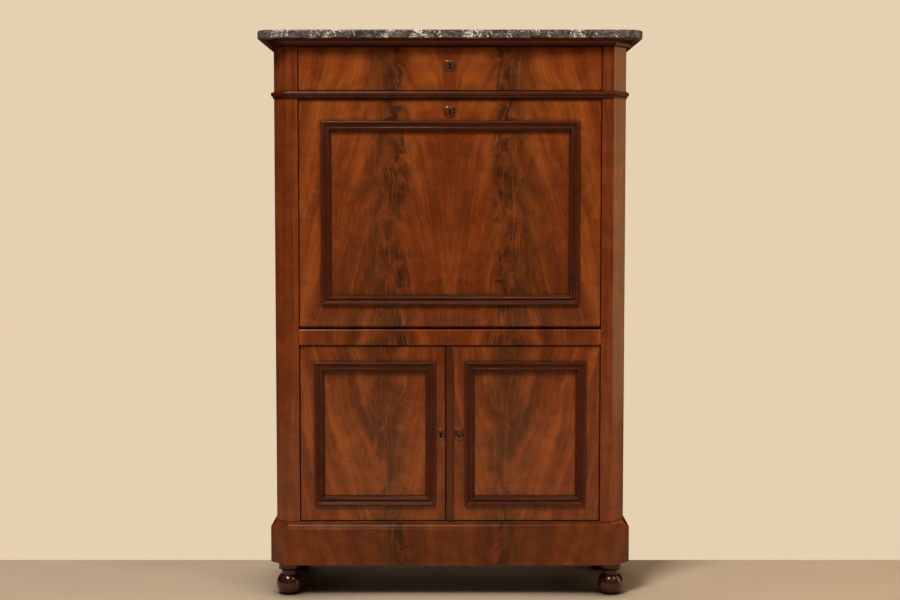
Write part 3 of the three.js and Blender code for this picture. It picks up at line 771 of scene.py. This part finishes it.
@dataclass(frozen=True)
class OldMetal(Finish):
    """Brass or iron that has darkened in its hollows and been rubbed bright on its edges."""

    name: str
    bright: Colour
    tarnish: Colour
    rough: float = 0.34
    dulled: float = 0.22
    # darkening of hollows and keyholes: dirt, together with painted shade
    grime_and_shade: float = 0.9
    grime_and_shade_colour: Colour = srgb(14, 10, 8)

    def lay(self, g: Graph, shader: bpy.types.Node) -> None:
        """Mixes tarnish into the metal by clouds, takes it off the arrises, and darkens the hollows and
        keyholes with dirt and painted shade.
        """
        place = g.place()
        clouds = g.band(g.noise(place, scale=140.0, detail=5.0, rough=0.65), 0.35, 0.65)
        share = clouds * (1.0 - g.group(edge_wear(), Vector=place, Reach=0.001)["Worn"])
        # dirt and painted shade in the hollows and the keyhole
        dirt_and_shade = g.group(grime_and_crevice_shade(), Vector=place, Reach=0.004)["Dirt"]
        base = g.mix(share, self.bright, self.tarnish)
        g.feed(shader.inputs["Base Color"], g.mix(dirt_and_shade * self.grime_and_shade, base, self.grime_and_shade_colour))
        shader.inputs["Metallic"].default_value = 1.0
        g.feed(shader.inputs["Roughness"], share * self.dulled + self.rough)
        g.feed(shader.inputs["Normal"], g.bump(clouds, 0.0001, 0.4))


@dataclass(frozen=True)
class WritingLeather(Finish):
    """Tooled writing leather: a fine grain, clouded paler where handled, with a double gilt line as its
    border.
    """

    name: str = "green_writing_leather"
    half_width: float = 0.3
    half_height: float = 0.2
    middle: float = 1.037
    line: float = 0.0016
    line_gap: float = 0.007
    hide: Colour = srgb(38, 62, 44)
    worn: Colour = srgb(66, 84, 58)
    gilt: Colour = srgb(176, 134, 62)

    def lay(self, g: Graph, shader: bpy.types.Node) -> None:
        """Lays the hide's pebbled grain and the two gilt rectangles, by distance from the field's edge."""
        place = g.place()
        x, _, z = g.split(place)
        from_side = g.maths("ABSOLUTE", x) - self.half_width
        from_end = g.maths("ABSOLUTE", z - self.middle) - self.half_height
        edge = g.maths("MAXIMUM", from_side, from_end)
        outer = g.band(g.maths("ABSOLUTE", edge), self.line, self.line * 0.6)
        inner = g.band(g.maths("ABSOLUTE", edge + self.line_gap), self.line * 0.5, self.line * 0.25)
        rubbed = g.band(g.noise(place, scale=60.0, detail=4.0), 0.32, 0.5)
        lines = g.maths("MAXIMUM", outer, inner) * rubbed
        clouds = g.band(g.noise(place, scale=7.0, detail=5.0, rough=0.6), 0.35, 0.7)
        colour = g.mix(clouds, self.hide, self.worn)
        g.feed(shader.inputs["Base Color"], g.mix(lines, colour, self.gilt))
        g.feed(shader.inputs["Metallic"], lines * 0.85)
        g.feed(shader.inputs["Roughness"], g.band(clouds, 0.0, 1.0, 0.62, 0.45))
        cells = g.add("ShaderNodeTexVoronoi", feature="DISTANCE_TO_EDGE")
        g.feed(cells.inputs["Vector"], place)
        cells.inputs["Scale"].default_value = 620.0
        g.feed(shader.inputs["Normal"], g.bump(g.out(cells, "Distance"), 0.0006, 0.5))


@dataclass(frozen=True)
class Floor(Finish):
    """A plain pale floor."""

    name: str = "pale_floor"
    tone: Colour = srgb(218, 196, 168)
    # painted shade under the desk: its tone and how far the floor must be hidden
    painted_shade_tone: Colour = srgb(70, 58, 48)
    painted_shade_reach: float = 0.25

    def lay(self, g: Graph, shader: bpy.types.Node) -> None:
        """Sets an even tone with a faint mottling, with painted shade under the desk where the floor is
        hidden.
        """
        tone = g.shaded(self.tone, g.band(g.noise(g.place(), scale=3.0), 0.3, 0.7, 0.97, 1.02))
        # painted shade: the floor darkens where the desk hides it
        under = g.band(g.hidden(self.painted_shade_reach), 0.85, 0.35)
        g.feed(shader.inputs["Base Color"], g.mix(under, tone, self.painted_shade_tone))
        shader.inputs["Roughness"].default_value = 0.8


class Finishes:
    """The desk's finishes by the piece they are for."""

    bare = Polish(rough=0.55, coat=0.0)
    softwood = (srgb(180, 134, 88), srgb(130, 92, 58))
    upper = FlameVeneer("flame_veneer_upper")
    doors = FlameVeneer("flame_veneer_doors", match=-0.012, middle=0.44, turn=-1.0, seed=3.0, blotted=0.45)
    plinth = FlameVeneer("flame_veneer_plinth", middle=0.14, turn=-1.0, seed=6.0, spread=0.028,
                         gleam=srgb(122, 62, 28), pale=srgb(122, 60, 25), warm=srgb(107, 50, 20),
                         deep=srgb(90, 41, 17), polish=Polish(coat=0.06))
    sides = FlameVeneer("flame_veneer_sides", match=0.04, plume=0.0, middle=0.85, seed=9.0, along_depth=True)
    post = StraightTimber("post_veneer", srgb(138, 66, 26), srgb(98, 42, 16), coarse=90.0)
    meeting = StraightTimber("astragal_veneer", srgb(90, 40, 16), srgb(66, 28, 11), coarse=90.0)
    moulding = StraightTimber("dark_moulding", srgb(92, 36, 17), srgb(58, 22, 11), Grain.ACROSS, 120.0,
                              Polish(rough=0.36, coat=0.14, coat_rough=0.14))
    turned_feet = StraightTimber("turned_feet", srgb(72, 30, 18), srgb(38, 16, 10), coarse=70.0,
                                 polish=Polish(rough=0.24, coat=0.6, coat_rough=0.08))
    carcase = StraightTimber("carcase_softwood", *softwood, coarse=50.0, polish=bare)
    carcase_across = StraightTimber("carcase_softwood_across", *softwood, Grain.ACROSS, 50.0, bare)
    drawer = StraightTimber("drawer_hardwood", srgb(182, 140, 92), srgb(138, 98, 60), Grain.ACROSS, 80.0,
                            Polish(rough=0.6, coat=0.0))
    nest = StraightTimber("nest_veneer", srgb(150, 84, 42), srgb(104, 54, 28), Grain.ACROSS, 70.0)
    marble = Marble()
    brass = OldMetal("old_brass", srgb(158, 108, 72), srgb(72, 46, 32))
    bright_pin = OldMetal("rubbed_brass", srgb(226, 206, 170), srgb(150, 120, 80), 0.4)
    iron = OldMetal("dark_iron", srgb(120, 114, 108), srgb(52, 48, 45), 0.5)
    leather = WritingLeather()


# ---- Pieces and their upkeep ----


@cache
def merged_and_smoothed() -> bpy.types.NodeTree:
    """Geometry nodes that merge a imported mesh's loose triangles and shade its shallow bends smooth."""
    tree = bpy.data.node_groups.new("merged_and_smoothed", "GeometryNodeTree")
    tree.interface.new_socket("Geometry", in_out="INPUT", socket_type="NodeSocketGeometry")
    tree.interface.new_socket("Geometry", in_out="OUTPUT", socket_type="NodeSocketGeometry")
    g = Graph(tree)
    merge = g.add("GeometryNodeMergeByDistance")
    merge.inputs["Distance"].default_value = MERGE_REACH
    forget = g.add("GeometryNodeRemoveAttribute")
    forget.inputs["Name"].default_value = "custom_normal"
    whole = g.add("GeometryNodeSetShadeSmooth", domain="FACE")
    edges = g.add("GeometryNodeSetShadeSmooth", domain="EDGE")
    angle = g.out(g.add("GeometryNodeInputMeshEdgeAngle"), "Unsigned Angle")
    g.feed(edges.inputs["Shade Smooth"], g.maths("LESS_THAN", angle, math.radians(BOARD_BEND)))
    steps = [g.add("NodeGroupInput"), merge, forget, whole, edges, g.add("NodeGroupOutput")]
    for step, following in zip(steps, steps[1:]):
        g.feed(following.inputs[0], g.out(step))
    return tree


def dress(node: str, finish: Finish, radius: float = 0.0007, clamped: bool = True) -> None:
    """Gives a packed board its finish and rounded arrises, and keeps its flat faces flat in shading.

    Args:
        node: the board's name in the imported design.
        finish: what it is finished with.
        radius: how far its arrises are rounded, in metres.
        clamped: whether the board's shortest edges hold the radius down.
    """
    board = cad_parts[node]
    board.modifiers.new("merged", "NODES").node_group = merged_and_smoothed()
    bevel = board.modifiers.new("eased_edges", "BEVEL")
    bevel.width = radius
    bevel.segments = 2
    bevel.limit_method = "ANGLE"
    bevel.angle_limit = math.radians(SHARP_BEND)
    bevel.harden_normals = True
    bevel.use_clamp_overlap = clamped
    board.data.materials.clear()
    board.data.materials.append(material_of(finish))
    LOG.info("dressed %s in %s", node, finish.name)


def settle(piece: bpy.types.Object, body: str, slot: str, finish: Finish, *replaces: str) -> None:
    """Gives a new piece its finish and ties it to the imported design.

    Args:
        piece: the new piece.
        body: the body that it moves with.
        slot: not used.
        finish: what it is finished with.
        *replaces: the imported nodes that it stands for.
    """
    piece.data.materials.append(material_of(finish))
    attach(piece, body)
    if replaces:
        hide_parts(*replaces)
    LOG.info("made %s on %s, %d points", piece.name, body, len(piece.data.vertices))


def corners(node: str) -> tuple[np.ndarray, np.ndarray]:
    """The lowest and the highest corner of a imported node's box."""
    lowest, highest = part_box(node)
    return np.array(lowest), np.array(highest)


class Side(Enum):
    """The two sides of the desk."""

    LEFT = "left"
    RIGHT = "right"


@dataclass
class Escutcheon:
    """A domed brass plate around a keyhole, let into the face behind it."""

    node: str
    body: str
    proud: float = 0.0021
    squareness: float = 3.2
    head: float = 0.0032
    slot: float = 0.0019
    drop: float = 0.012
    head_rise: float = 0.003
    around: int = 96
    shares: tuple[float, ...] = (0, 0.02, 0.08, 0.3, 0.6, 0.8, 0.9, 0.97, 1, 1, 0.5, 0)
    rises: tuple[float, ...] = (0, 0.5, 0.75, 0.9, 0.82, 0.86, 1, 0.9, 0.6, -3, -3, -3)

    def build(self) -> None:
        """Lays a tube of rings from the plate's rim over its dome and down into the keyhole.

        The rim is a superellipse |x|^n + |z|^n = 1, with squareness n. The keyhole, seen from the middle of
        its round head, has the radius of the head, or of the slot where that reaches further. Each ring lies
        at a share of the way from the rim to the keyhole, and rises by a share of the dome.
        """
        lowest, highest = corners(self.node)
        middle, half = (lowest + highest) / 2, (highest - lowest) / 2
        angles = np.linspace(0, 2 * np.pi, self.around, endpoint=False)
        circle = np.stack([np.cos(angles), np.sin(angles)], axis=1)
        cos, sin = circle.T
        size = (np.abs(circle) ** self.squareness).sum(axis=1) ** (-1 / self.squareness)
        rim = half[[0, 2]] * size[:, None] * circle
        sideways, down = np.maximum(np.abs(cos), 1e-6), np.maximum(-sin, 1e-6)
        reach = np.where(sin < 0, np.minimum(self.slot / sideways, self.drop / down), 0)
        hole = np.maximum(self.head, reach)[:, None] * circle + [0, self.head_rise]
        share = np.array(self.shares)[:, None, None]
        flat = middle[[0, 2]] + rim * (1 - share) + hole * share
        depth = np.repeat(highest[1] - self.proud * np.array(self.rises)[:, None], self.around, axis=1)
        rings = np.stack([flat[..., 0], depth, flat[..., 1]], axis=-1)
        piece = skin(self.node + "_plate", rings, Ends.JOINED, TURNED_BEND)
        settle(piece, self.body, "brass", Finishes.brass, self.node)


@dataclass
class PanelMoulding:
    """The moulding mitred round a sunk panel: a bead, a hollow, a second bead and a cove."""

    node: str
    body: str
    face: float
    width: float = 0.027
    sink: float = 0.0057
    seat: float = 0.0143

    def profile(self) -> np.ndarray:
        """The moulding's section as [across, proud], from its outer edge inwards."""
        return np.concatenate([
            [[0, GAP]],
            arc((0.0036, 0.0054), 0.0036, 190, 30, 10),
            [[0.0074, 0.0064]],
            arc((0.0142, 0.0104), 0.0074, 212, 272, 8),
            [[0.0150, 0.0036]],
            arc((0.0184, 0.0036), 0.0031, 180, 0, 10),
            [[0.0217, 0.0022]],
            arc((self.width, 0.0006), 0.0052, 176, 270, 7),
            [[self.width, -self.sink], [self.seat, -self.sink], [self.seat, GAP]],
        ])

    def build(self) -> None:
        """Carries the section round the moulding's outer rectangle."""
        (left, _, bottom), (right, _, top) = corners(self.node)
        plan = ((left, top), (right, top), (right, bottom), (left, bottom))
        path = np.array([[x, self.face, z] for x, z in plan])
        rings = mitred(path, (0, -1, 0), self.profile(), True)
        piece = skin(self.node + "_run", rings, Ends.JOINED)
        settle(piece, self.body, "moulding", Finishes.moulding, self.node)


# ---- Sub-assemblies ----


@dataclass
class MarbleTop:
    """The slab: rounded front corners in plan and eased arrises."""

    corner: float = 0.05
    corner_steps: int = 24
    back_corner: float = 0.002
    back_steps: int = 4
    eased: float = 0.003
    eased_steps: int = 5
    middle_from_back: float = 0.2
    smooth_bend: float = 40.0
    body: str = "carcase"

    def build(self) -> None:
        """Stacks copies of the plan outline through the slab's thickness, drawn in at its arrises."""
        lowest, highest = corners("marble_top")
        left, right = lowest[0] + self.corner, highest[0] - self.corner
        front, back = lowest[1] + self.corner, highest[1] - self.back_corner
        outline = np.concatenate([
            arc((left, front), self.corner, 180, 270, self.corner_steps),
            arc((right, front), self.corner, 270, 360, self.corner_steps),
            arc((highest[0] - self.back_corner, back), self.back_corner, 0, 90, self.back_steps),
            arc((lowest[0] + self.back_corner, back), self.back_corner, 90, 180, self.back_steps),
        ])
        middle = np.array([0, highest[1] - self.middle_from_back])
        half = (highest - lowest)[:2] / 2
        drawn, rise = quarter(self.eased, self.eased_steps)
        shrink = 1 - np.concatenate([drawn, drawn[::-1]])[:, None] / half
        levels = np.concatenate([lowest[2] + rise, highest[2] - rise[::-1]])
        plans = middle + (outline - middle)[None] * shrink[:, None]
        piece = skin("marble_slab", stacked(plans, levels), Ends.POINT, self.smooth_bend)
        settle(piece, self.body, "marble", Finishes.marble, "marble_top")


@dataclass
class Carcase:
    """The fixed woodwork: posts, sides, boards, cornice and waist moulding."""

    body: str = "carcase"
    cant: float = 0.036
    side_edge: float = 0.0006
    rail_edge: float = 0.0009
    cornice_depth: float = 0.04
    back_boards: int = 7
    board_gap: float = 0.0012
    board_edge: float = 0.0015

    def build(self) -> None:
        """Dresses the boards, runs the two horizontal mouldings and boards the back."""
        for side in Side:
            dress(f"{side.value}_corner_post", Finishes.post, FRAME_EDGE, clamped=False)
            dress(f"{side.value}_side_panel", Finishes.sides, self.side_edge)
            dress(f"{side.value}_lining", Finishes.nest)
        dress("middle_rail", Finishes.upper, self.rail_edge)
        dress("writing_deck", Finishes.nest)
        for node in ("top_board", "frieze_dust_board", "cupboard_shelf", "bottom_board"):
            dress(node, Finishes.carcase_across)
        self.run("cornice", self.cornice_section())
        self.run("waist_moulding", self.waist_section())
        self.board_back()

    def cornice_section(self) -> np.ndarray:
        """A fillet and a cavetto under a square edge, as [proud, height]."""
        lowest, highest = corners("cornice")
        height = highest[2] - lowest[2]
        reach = highest[0] - corners("right_side_panel")[1][0]
        return np.concatenate([
            [[-self.cornice_depth, 0], [0.005, 0], [0.0052, 0.0028]],
            arc((reach, 0.003), height - 0.005, 178, 92, 12),
            [[reach, height - 0.0015], [reach - 0.0003, height], [-self.cornice_depth, height]],
        ])

    def waist_section(self) -> np.ndarray:
        """A bead over a cove, as [proud, height]."""
        lowest, highest = corners("waist_moulding")
        height = highest[2] - lowest[2]
        return np.concatenate([
            [[GAP, 0], [0.0025, 0]],
            arc((0.0088, 0.0012), 0.0063, 180, 105, 9),
            arc((0.0035, 0.0125), 0.0045, -38, 85, 14),
            [[0.003, height - 0.001], [0.0028, height], [GAP, height]],
        ])

    def run(self, node: str, section: np.ndarray) -> None:
        """Carries a section round the carcase, from its left back corner by the front to the right."""
        lowest, highest = corners(node)
        side = corners("right_side_panel")[1][0]
        front = corners("left_corner_post")[0][1]
        half = [[side, highest[1]], [side, front + self.cant], [side - self.cant, front]]
        plan = [[-x, y] for x, y in half] + half[::-1]
        path = np.array([[x, y, lowest[2]] for x, y in plan])
        name = node.removesuffix("_moulding") + "_run"
        piece = skin(name, mitred(path, (0, 0, 1), section, False), Ends.FLAT)
        settle(piece, self.body, "moulding", Finishes.moulding, node)

    def board_back(self) -> None:
        """Makes the back of upright boards with a narrow gap between each two."""
        lowest, highest = corners("back_panel")
        edges = np.linspace(lowest[0], highest[0], self.back_boards + 1)
        boxes = np.tile(np.stack([lowest, highest]), (self.back_boards, 1, 1))
        boxes[:, 0, 0] = edges[:-1] + self.board_gap / 2
        boxes[:, 1, 0] = edges[1:] - self.board_gap / 2
        piece = eased_boards("back_boards", boxes, self.board_edge)
        settle(piece, self.body, "carcase_wood", Finishes.carcase, "back_panel")


@dataclass
class Base:
    """The plinth and the four turned feet."""

    body: str = "carcase"
    plinth_edge: float = 0.0005
    bottom_radius: float = 0.0185
    ball: float = 0.035
    ball_height: float = 0.0342
    ball_middle: float = 0.029
    ball_steps: int = 33
    neck: float = 0.022
    neck_level: float = 0.062
    collar: float = 0.029
    collar_level: float = 0.071
    lip: float = 0.003
    rim: float = 0.002
    block: float = 0.0592
    block_cut: float = 0.36

    def foot_profile(self, top: float) -> np.ndarray:
        """The foot's section as [radius, height]: a squashed ball, a cove and a collar with a rounded lip."""
        first = -math.asin(self.ball_middle / self.ball_height)
        last = math.acos(self.neck / self.ball)
        turn = np.linspace(first, last, self.ball_steps + 1)[1:]
        cove = self.collar + 0.001
        return np.concatenate([
            [[0.001, 0.0004], [self.bottom_radius - 0.001, 0.0]],
            np.stack([self.ball * np.cos(turn), self.ball_middle + self.ball_height * np.sin(turn)], axis=1),
            arc((cove, self.neck_level), cove - self.neck, 178, 100, 10),
            arc((self.collar - self.lip, self.collar_level + self.lip), self.lip, -80, 0, 5),
            arc((self.collar - self.rim, top - self.rim), self.rim, 0, 88, 4),
            [[0.001, top]],
        ])

    def build(self) -> None:
        """Dresses the plinth, and turns each foot under its block."""
        for node in ("plinth_front", "plinth_left", "plinth_right"):
            dress(node, Finishes.plinth, self.plinth_edge)
        for side in Side:
            for place in ("front", "back"):
                self.turn_foot(f"{side.value}_{place}_foot")

    def turn_foot(self, node: str) -> None:
        """Turns one foot's ball and collar, and lays its block, cut at its outer front corner, above them."""
        lowest, highest = corners(node)
        bottom = corners("plinth_front")[0][2]
        centre = (lowest + highest)[:2] / 2
        rings = turned(self.foot_profile(bottom - GAP), [*centre, 0])
        ball = skin(node + "_ball", rings, Ends.POINT, TURNED_BEND)
        settle(ball, self.body, "feet", Finishes.turned_feet, node)
        half, cut = self.block / 2, self.block_cut * self.block
        front, back = [[-half, -half], [half - cut, -half], [half, cut - half]], [[half, half], [-half, half]]
        plan = np.array(front + back)
        plan[:, 0] *= np.sign(centre[0])
        block = stacked(np.stack([centre + plan] * 2), np.array([bottom, highest[2]]))
        settle(skin(node + "_block", block, Ends.FLAT), self.body, "feet", Finishes.carcase, node)


@dataclass
class FriezeDrawer:
    """The drawer under the cornice."""

    body: str = "frieze_drawer"
    wall_edge: float = 0.0008

    def build(self) -> None:
        """Dresses the front, the walls, the lock and the keyhole's plate."""
        dress("drawer_front", Finishes.upper, FRAME_EDGE, clamped=False)
        for wall in ("left_side", "right_side", "back", "bottom"):
            dress(f"drawer_{wall}", Finishes.drawer, self.wall_edge)
        dress("drawer_lock", Finishes.iron, METAL_EDGE)
        Escutcheon("drawer_escutcheon", self.body).build()


@dataclass
class Fall:
    """The falling flap with its sunk panel and its writing leather."""

    body: str = "fall"
    leather_edge: float = 0.0005

    def build(self) -> None:
        """Dresses the frame and the panel, and builds the moulding, the leather and the plate."""
        dress("fall_frame", Finishes.upper, FRAME_EDGE, clamped=False)
        dress("fall_panel", Finishes.upper, THIN_EDGE)
        PanelMoulding("fall_moulding", self.body, corners("fall_frame")[0][1]).build()
        Escutcheon("fall_escutcheon", self.body).build()
        for node in ("fall_lock", "fall_left_lever", "fall_right_lever"):
            dress(node, Finishes.iron, METAL_EDGE)
        sheet = np.stack(corners("fall_leather"))[None]
        piece = eased_boards("fall_leather_skin", sheet, self.leather_edge)
        settle(piece, self.body, "leather", Finishes.leather, "fall_leather")


@dataclass
class Door:
    """One of the two cupboard doors."""

    side: Side
    pivot_edge: float = 0.0003
    pin_radius: float = 0.0017
    pin_root: float = 0.006
    pin_proud: float = 0.0009

    def build(self) -> None:
        """Dresses the frame and the panel, and builds the moulding and the plate."""
        body = f"{self.side.value}_door"
        dress(f"{body}_frame", Finishes.doors, FRAME_EDGE, clamped=False)
        dress(f"{body}_panel", Finishes.doors, THIN_EDGE)
        for end in ("lower", "upper"):
            dress(f"{body}_{end}_pivot", Finishes.brass, self.pivot_edge)
        PanelMoulding(f"{body}_moulding", body, corners(f"{body}_frame")[0][1]).build()
        Escutcheon(f"{body}_escutcheon", body).build()
        if self.side is Side.RIGHT:
            self.fit_key_pin(f"{body}_escutcheon", body)
            dress("door_astragal", Finishes.meeting, THIN_EDGE)
            dress("door_lock", Finishes.iron, METAL_EDGE)

    def fit_key_pin(self, plate: str, body: str) -> None:
        """Turns the pin that the key's pipe slides over, chamfered, in the keyhole's round head."""
        lowest, highest = corners(plate)
        level = (lowest[2] + highest[2]) / 2 + Escutcheon.head_rise
        centre = [(lowest[0] + highest[0]) / 2, lowest[1], level]
        chamfer = 0.0006
        profile = np.array([
            [self.pin_radius, -self.pin_root],
            [self.pin_radius, self.pin_proud],
            [self.pin_radius - chamfer, self.pin_proud + chamfer],
        ])
        pin = skin(plate + "_pin", turned(profile, centre, 32, Facing.FRONT), Ends.POINT, TURNED_BEND)
        settle(pin, body, "brass", Finishes.bright_pin, plate)


@dataclass
class Nest:
    """The shelves and small drawers behind the fall."""

    shelf_edge: float = 0.0008
    drawer_edge: float = 0.0006
    knob_points: int = 40

    def build(self) -> None:
        """Dresses the shelves and cases, and gives each small drawer a turned brass knob."""
        for part in ("shelf", "upper_shelf", "left_case", "right_case"):
            dress(f"nest_{part}", Finishes.nest, self.shelf_edge)
        for side in Side:
            for level in ("lower", "upper"):
                self.fit_drawer(f"nest_{side.value}_{level}_drawer")

    def fit_drawer(self, node: str) -> None:
        """Dresses one drawer and turns a knob, with a rose, a neck and a round head, over its plain one."""
        dress(node, Finishes.drawer, self.drawer_edge)
        lowest, highest = corners(node)
        centre = [(lowest[0] + highest[0]) / 2, lowest[1], (lowest[2] + highest[2]) / 2]
        profile = np.concatenate([
            [[0.0062, -0.0148], [0.0070, -0.0140], [0.0066, -0.0128], [0.0052, -0.0118]],
            arc((0.0025, -0.0056), 0.0056, -60, 75, 14),
            [[0.0012, 0.00035]],
        ])
        rings = turned(profile, centre, self.knob_points, Facing.FRONT)
        settle(skin(node + "_knob", rings, Ends.POINT, TURNED_BEND), node, "brass", Finishes.brass)


@dataclass(frozen=True)
class Lamp:
    """A rectangular soft light that faces the middle of the desk."""

    name: str
    place: tuple[float, float, float]
    size: tuple[float, float]
    power: float
    tint: tuple[float, float, float]
    mirrored: bool = True
    aim: tuple[float, float, float] = (0, 0, 0.8)

    def hang(self) -> None:
        """Hangs the light, unseen by the camera and seen in the polish only if mirrored."""
        lamp = bpy.data.lights.new(self.name, "AREA")
        lamp.shape = "RECTANGLE"
        lamp.size, lamp.size_y = self.size
        lamp.energy = self.power
        lamp.color = self.tint
        light = bpy.data.objects.new(self.name, lamp)
        light.visible_camera = False
        light.visible_glossy = self.mirrored
        light.location = self.place
        x, y, z = np.subtract(self.aim, self.place)
        light.rotation_euler = (math.acos(-z / math.hypot(x, y, z)), 0, math.atan2(y, x) - math.pi / 2)
        bpy.context.scene.collection.objects.link(light)


@dataclass
class Studio:
    """The floor, the backdrop's tone, the lights and the camera."""

    background: Colour = srgb(230, 208, 178)
    surroundings: Colour = srgb(244, 228, 208)
    focal_length: float = 61.04
    pitch: float = 86.25
    distance: float = 4.047
    height: float = 1.0727
    floor_back: float = 0.25
    floor_reach: float = 7.0
    lamps: tuple[Lamp, ...] = (
        Lamp("key", (-1.4, -3.0, 5.0), (1.4, 1.4), 222.0, (1.0, 0.95, 0.88)),
        Lamp("right", (2.7, -2.6, 4.0), (1.3, 1.3), 32.0, (1.0, 0.93, 0.84)),
        Lamp("side", (3.0, -0.3, 1.26), (1.2, 2.4), 20.0, (1.0, 0.7, 0.35)),
        Lamp("rear", (-1.2, 3.6, 1.5), (1.6, 1.6), 20.0, (1.0, 0.95, 0.9), mirrored=False),
    )

    def build(self) -> None:
        """Sets the whole scene around the desk."""
        scene = bpy.context.scene
        scene.view_settings.view_transform = "Standard"
        self.lay_floor()
        self.light_world(scene)
        for lamp in self.lamps:
            lamp.hang()
        camera = bpy.data.objects.new("camera", bpy.data.cameras.new("camera"))
        camera.data.lens = self.focal_length
        camera.location = (0, CAD_BOX[0][1] - self.distance, self.height)
        camera.rotation_euler = (math.radians(self.pitch), 0, 0)
        scene.collection.objects.link(camera)
        scene.camera = camera

    def lay_floor(self) -> None:
        """Lays a flat floor that ends a little behind the desk."""
        mesh = bpy.data.meshes.new("floor")
        reach, back = self.floor_reach, self.floor_back
        outline = [(-reach, -reach, 0), (reach, -reach, 0), (reach, back, 0), (-reach, back, 0)]
        mesh.from_pydata(outline, [], [(0, 1, 2, 3)])
        floor = bpy.data.objects.new("floor", mesh)
        bpy.context.scene.collection.objects.link(floor)
        mesh.materials.append(material_of(Floor()))

    def light_world(self, scene: bpy.types.Scene) -> None:
        """Shows the backdrop's tone to the camera, a soft front light to the desk, little to its polish."""
        world = bpy.data.worlds.new("studio")
        scene.world = world
        world.use_nodes = True
        world.node_tree.nodes.clear()
        g = Graph(world.node_tree)
        shown, around = g.add("ShaderNodeBackground"), g.add("ShaderNodeBackground")
        shown.inputs["Color"].default_value = self.background
        around.inputs["Color"].default_value = self.surroundings
        path = g.add("ShaderNodeLightPath")
        _, y, z = g.split(g.out(g.add("ShaderNodeTexCoord"), "Generated"))
        soft = g.band(y * -0.9 + z * 0.4, -0.3, 0.9, 0.02, 0.18)
        g.feed(around.inputs["Strength"], soft * (1.0 - g.out(path, "Is Glossy Ray") * 0.9))
        mix = g.add("ShaderNodeMixShader")
        for socket, value in zip(mix.inputs, (g.out(path, "Is Camera Ray"), g.out(around), g.out(shown))):
            g.feed(socket, value)
        g.feed(g.add("ShaderNodeOutputWorld").inputs["Surface"], g.out(mix))


def main() -> None:
    """Builds the studio and the desk's sub-assemblies in order."""
    logging.basicConfig(level=logging.INFO, format="%(name)s: %(message)s")
    doors = [Door(side) for side in Side]
    for part in [Studio(), MarbleTop(), Carcase(), Base(), FriezeDrawer(), Fall(), *doors, Nest()]:
        LOG.info("building %s", type(part).__name__)
        part.build()


if __name__ == "__main__":
    main()
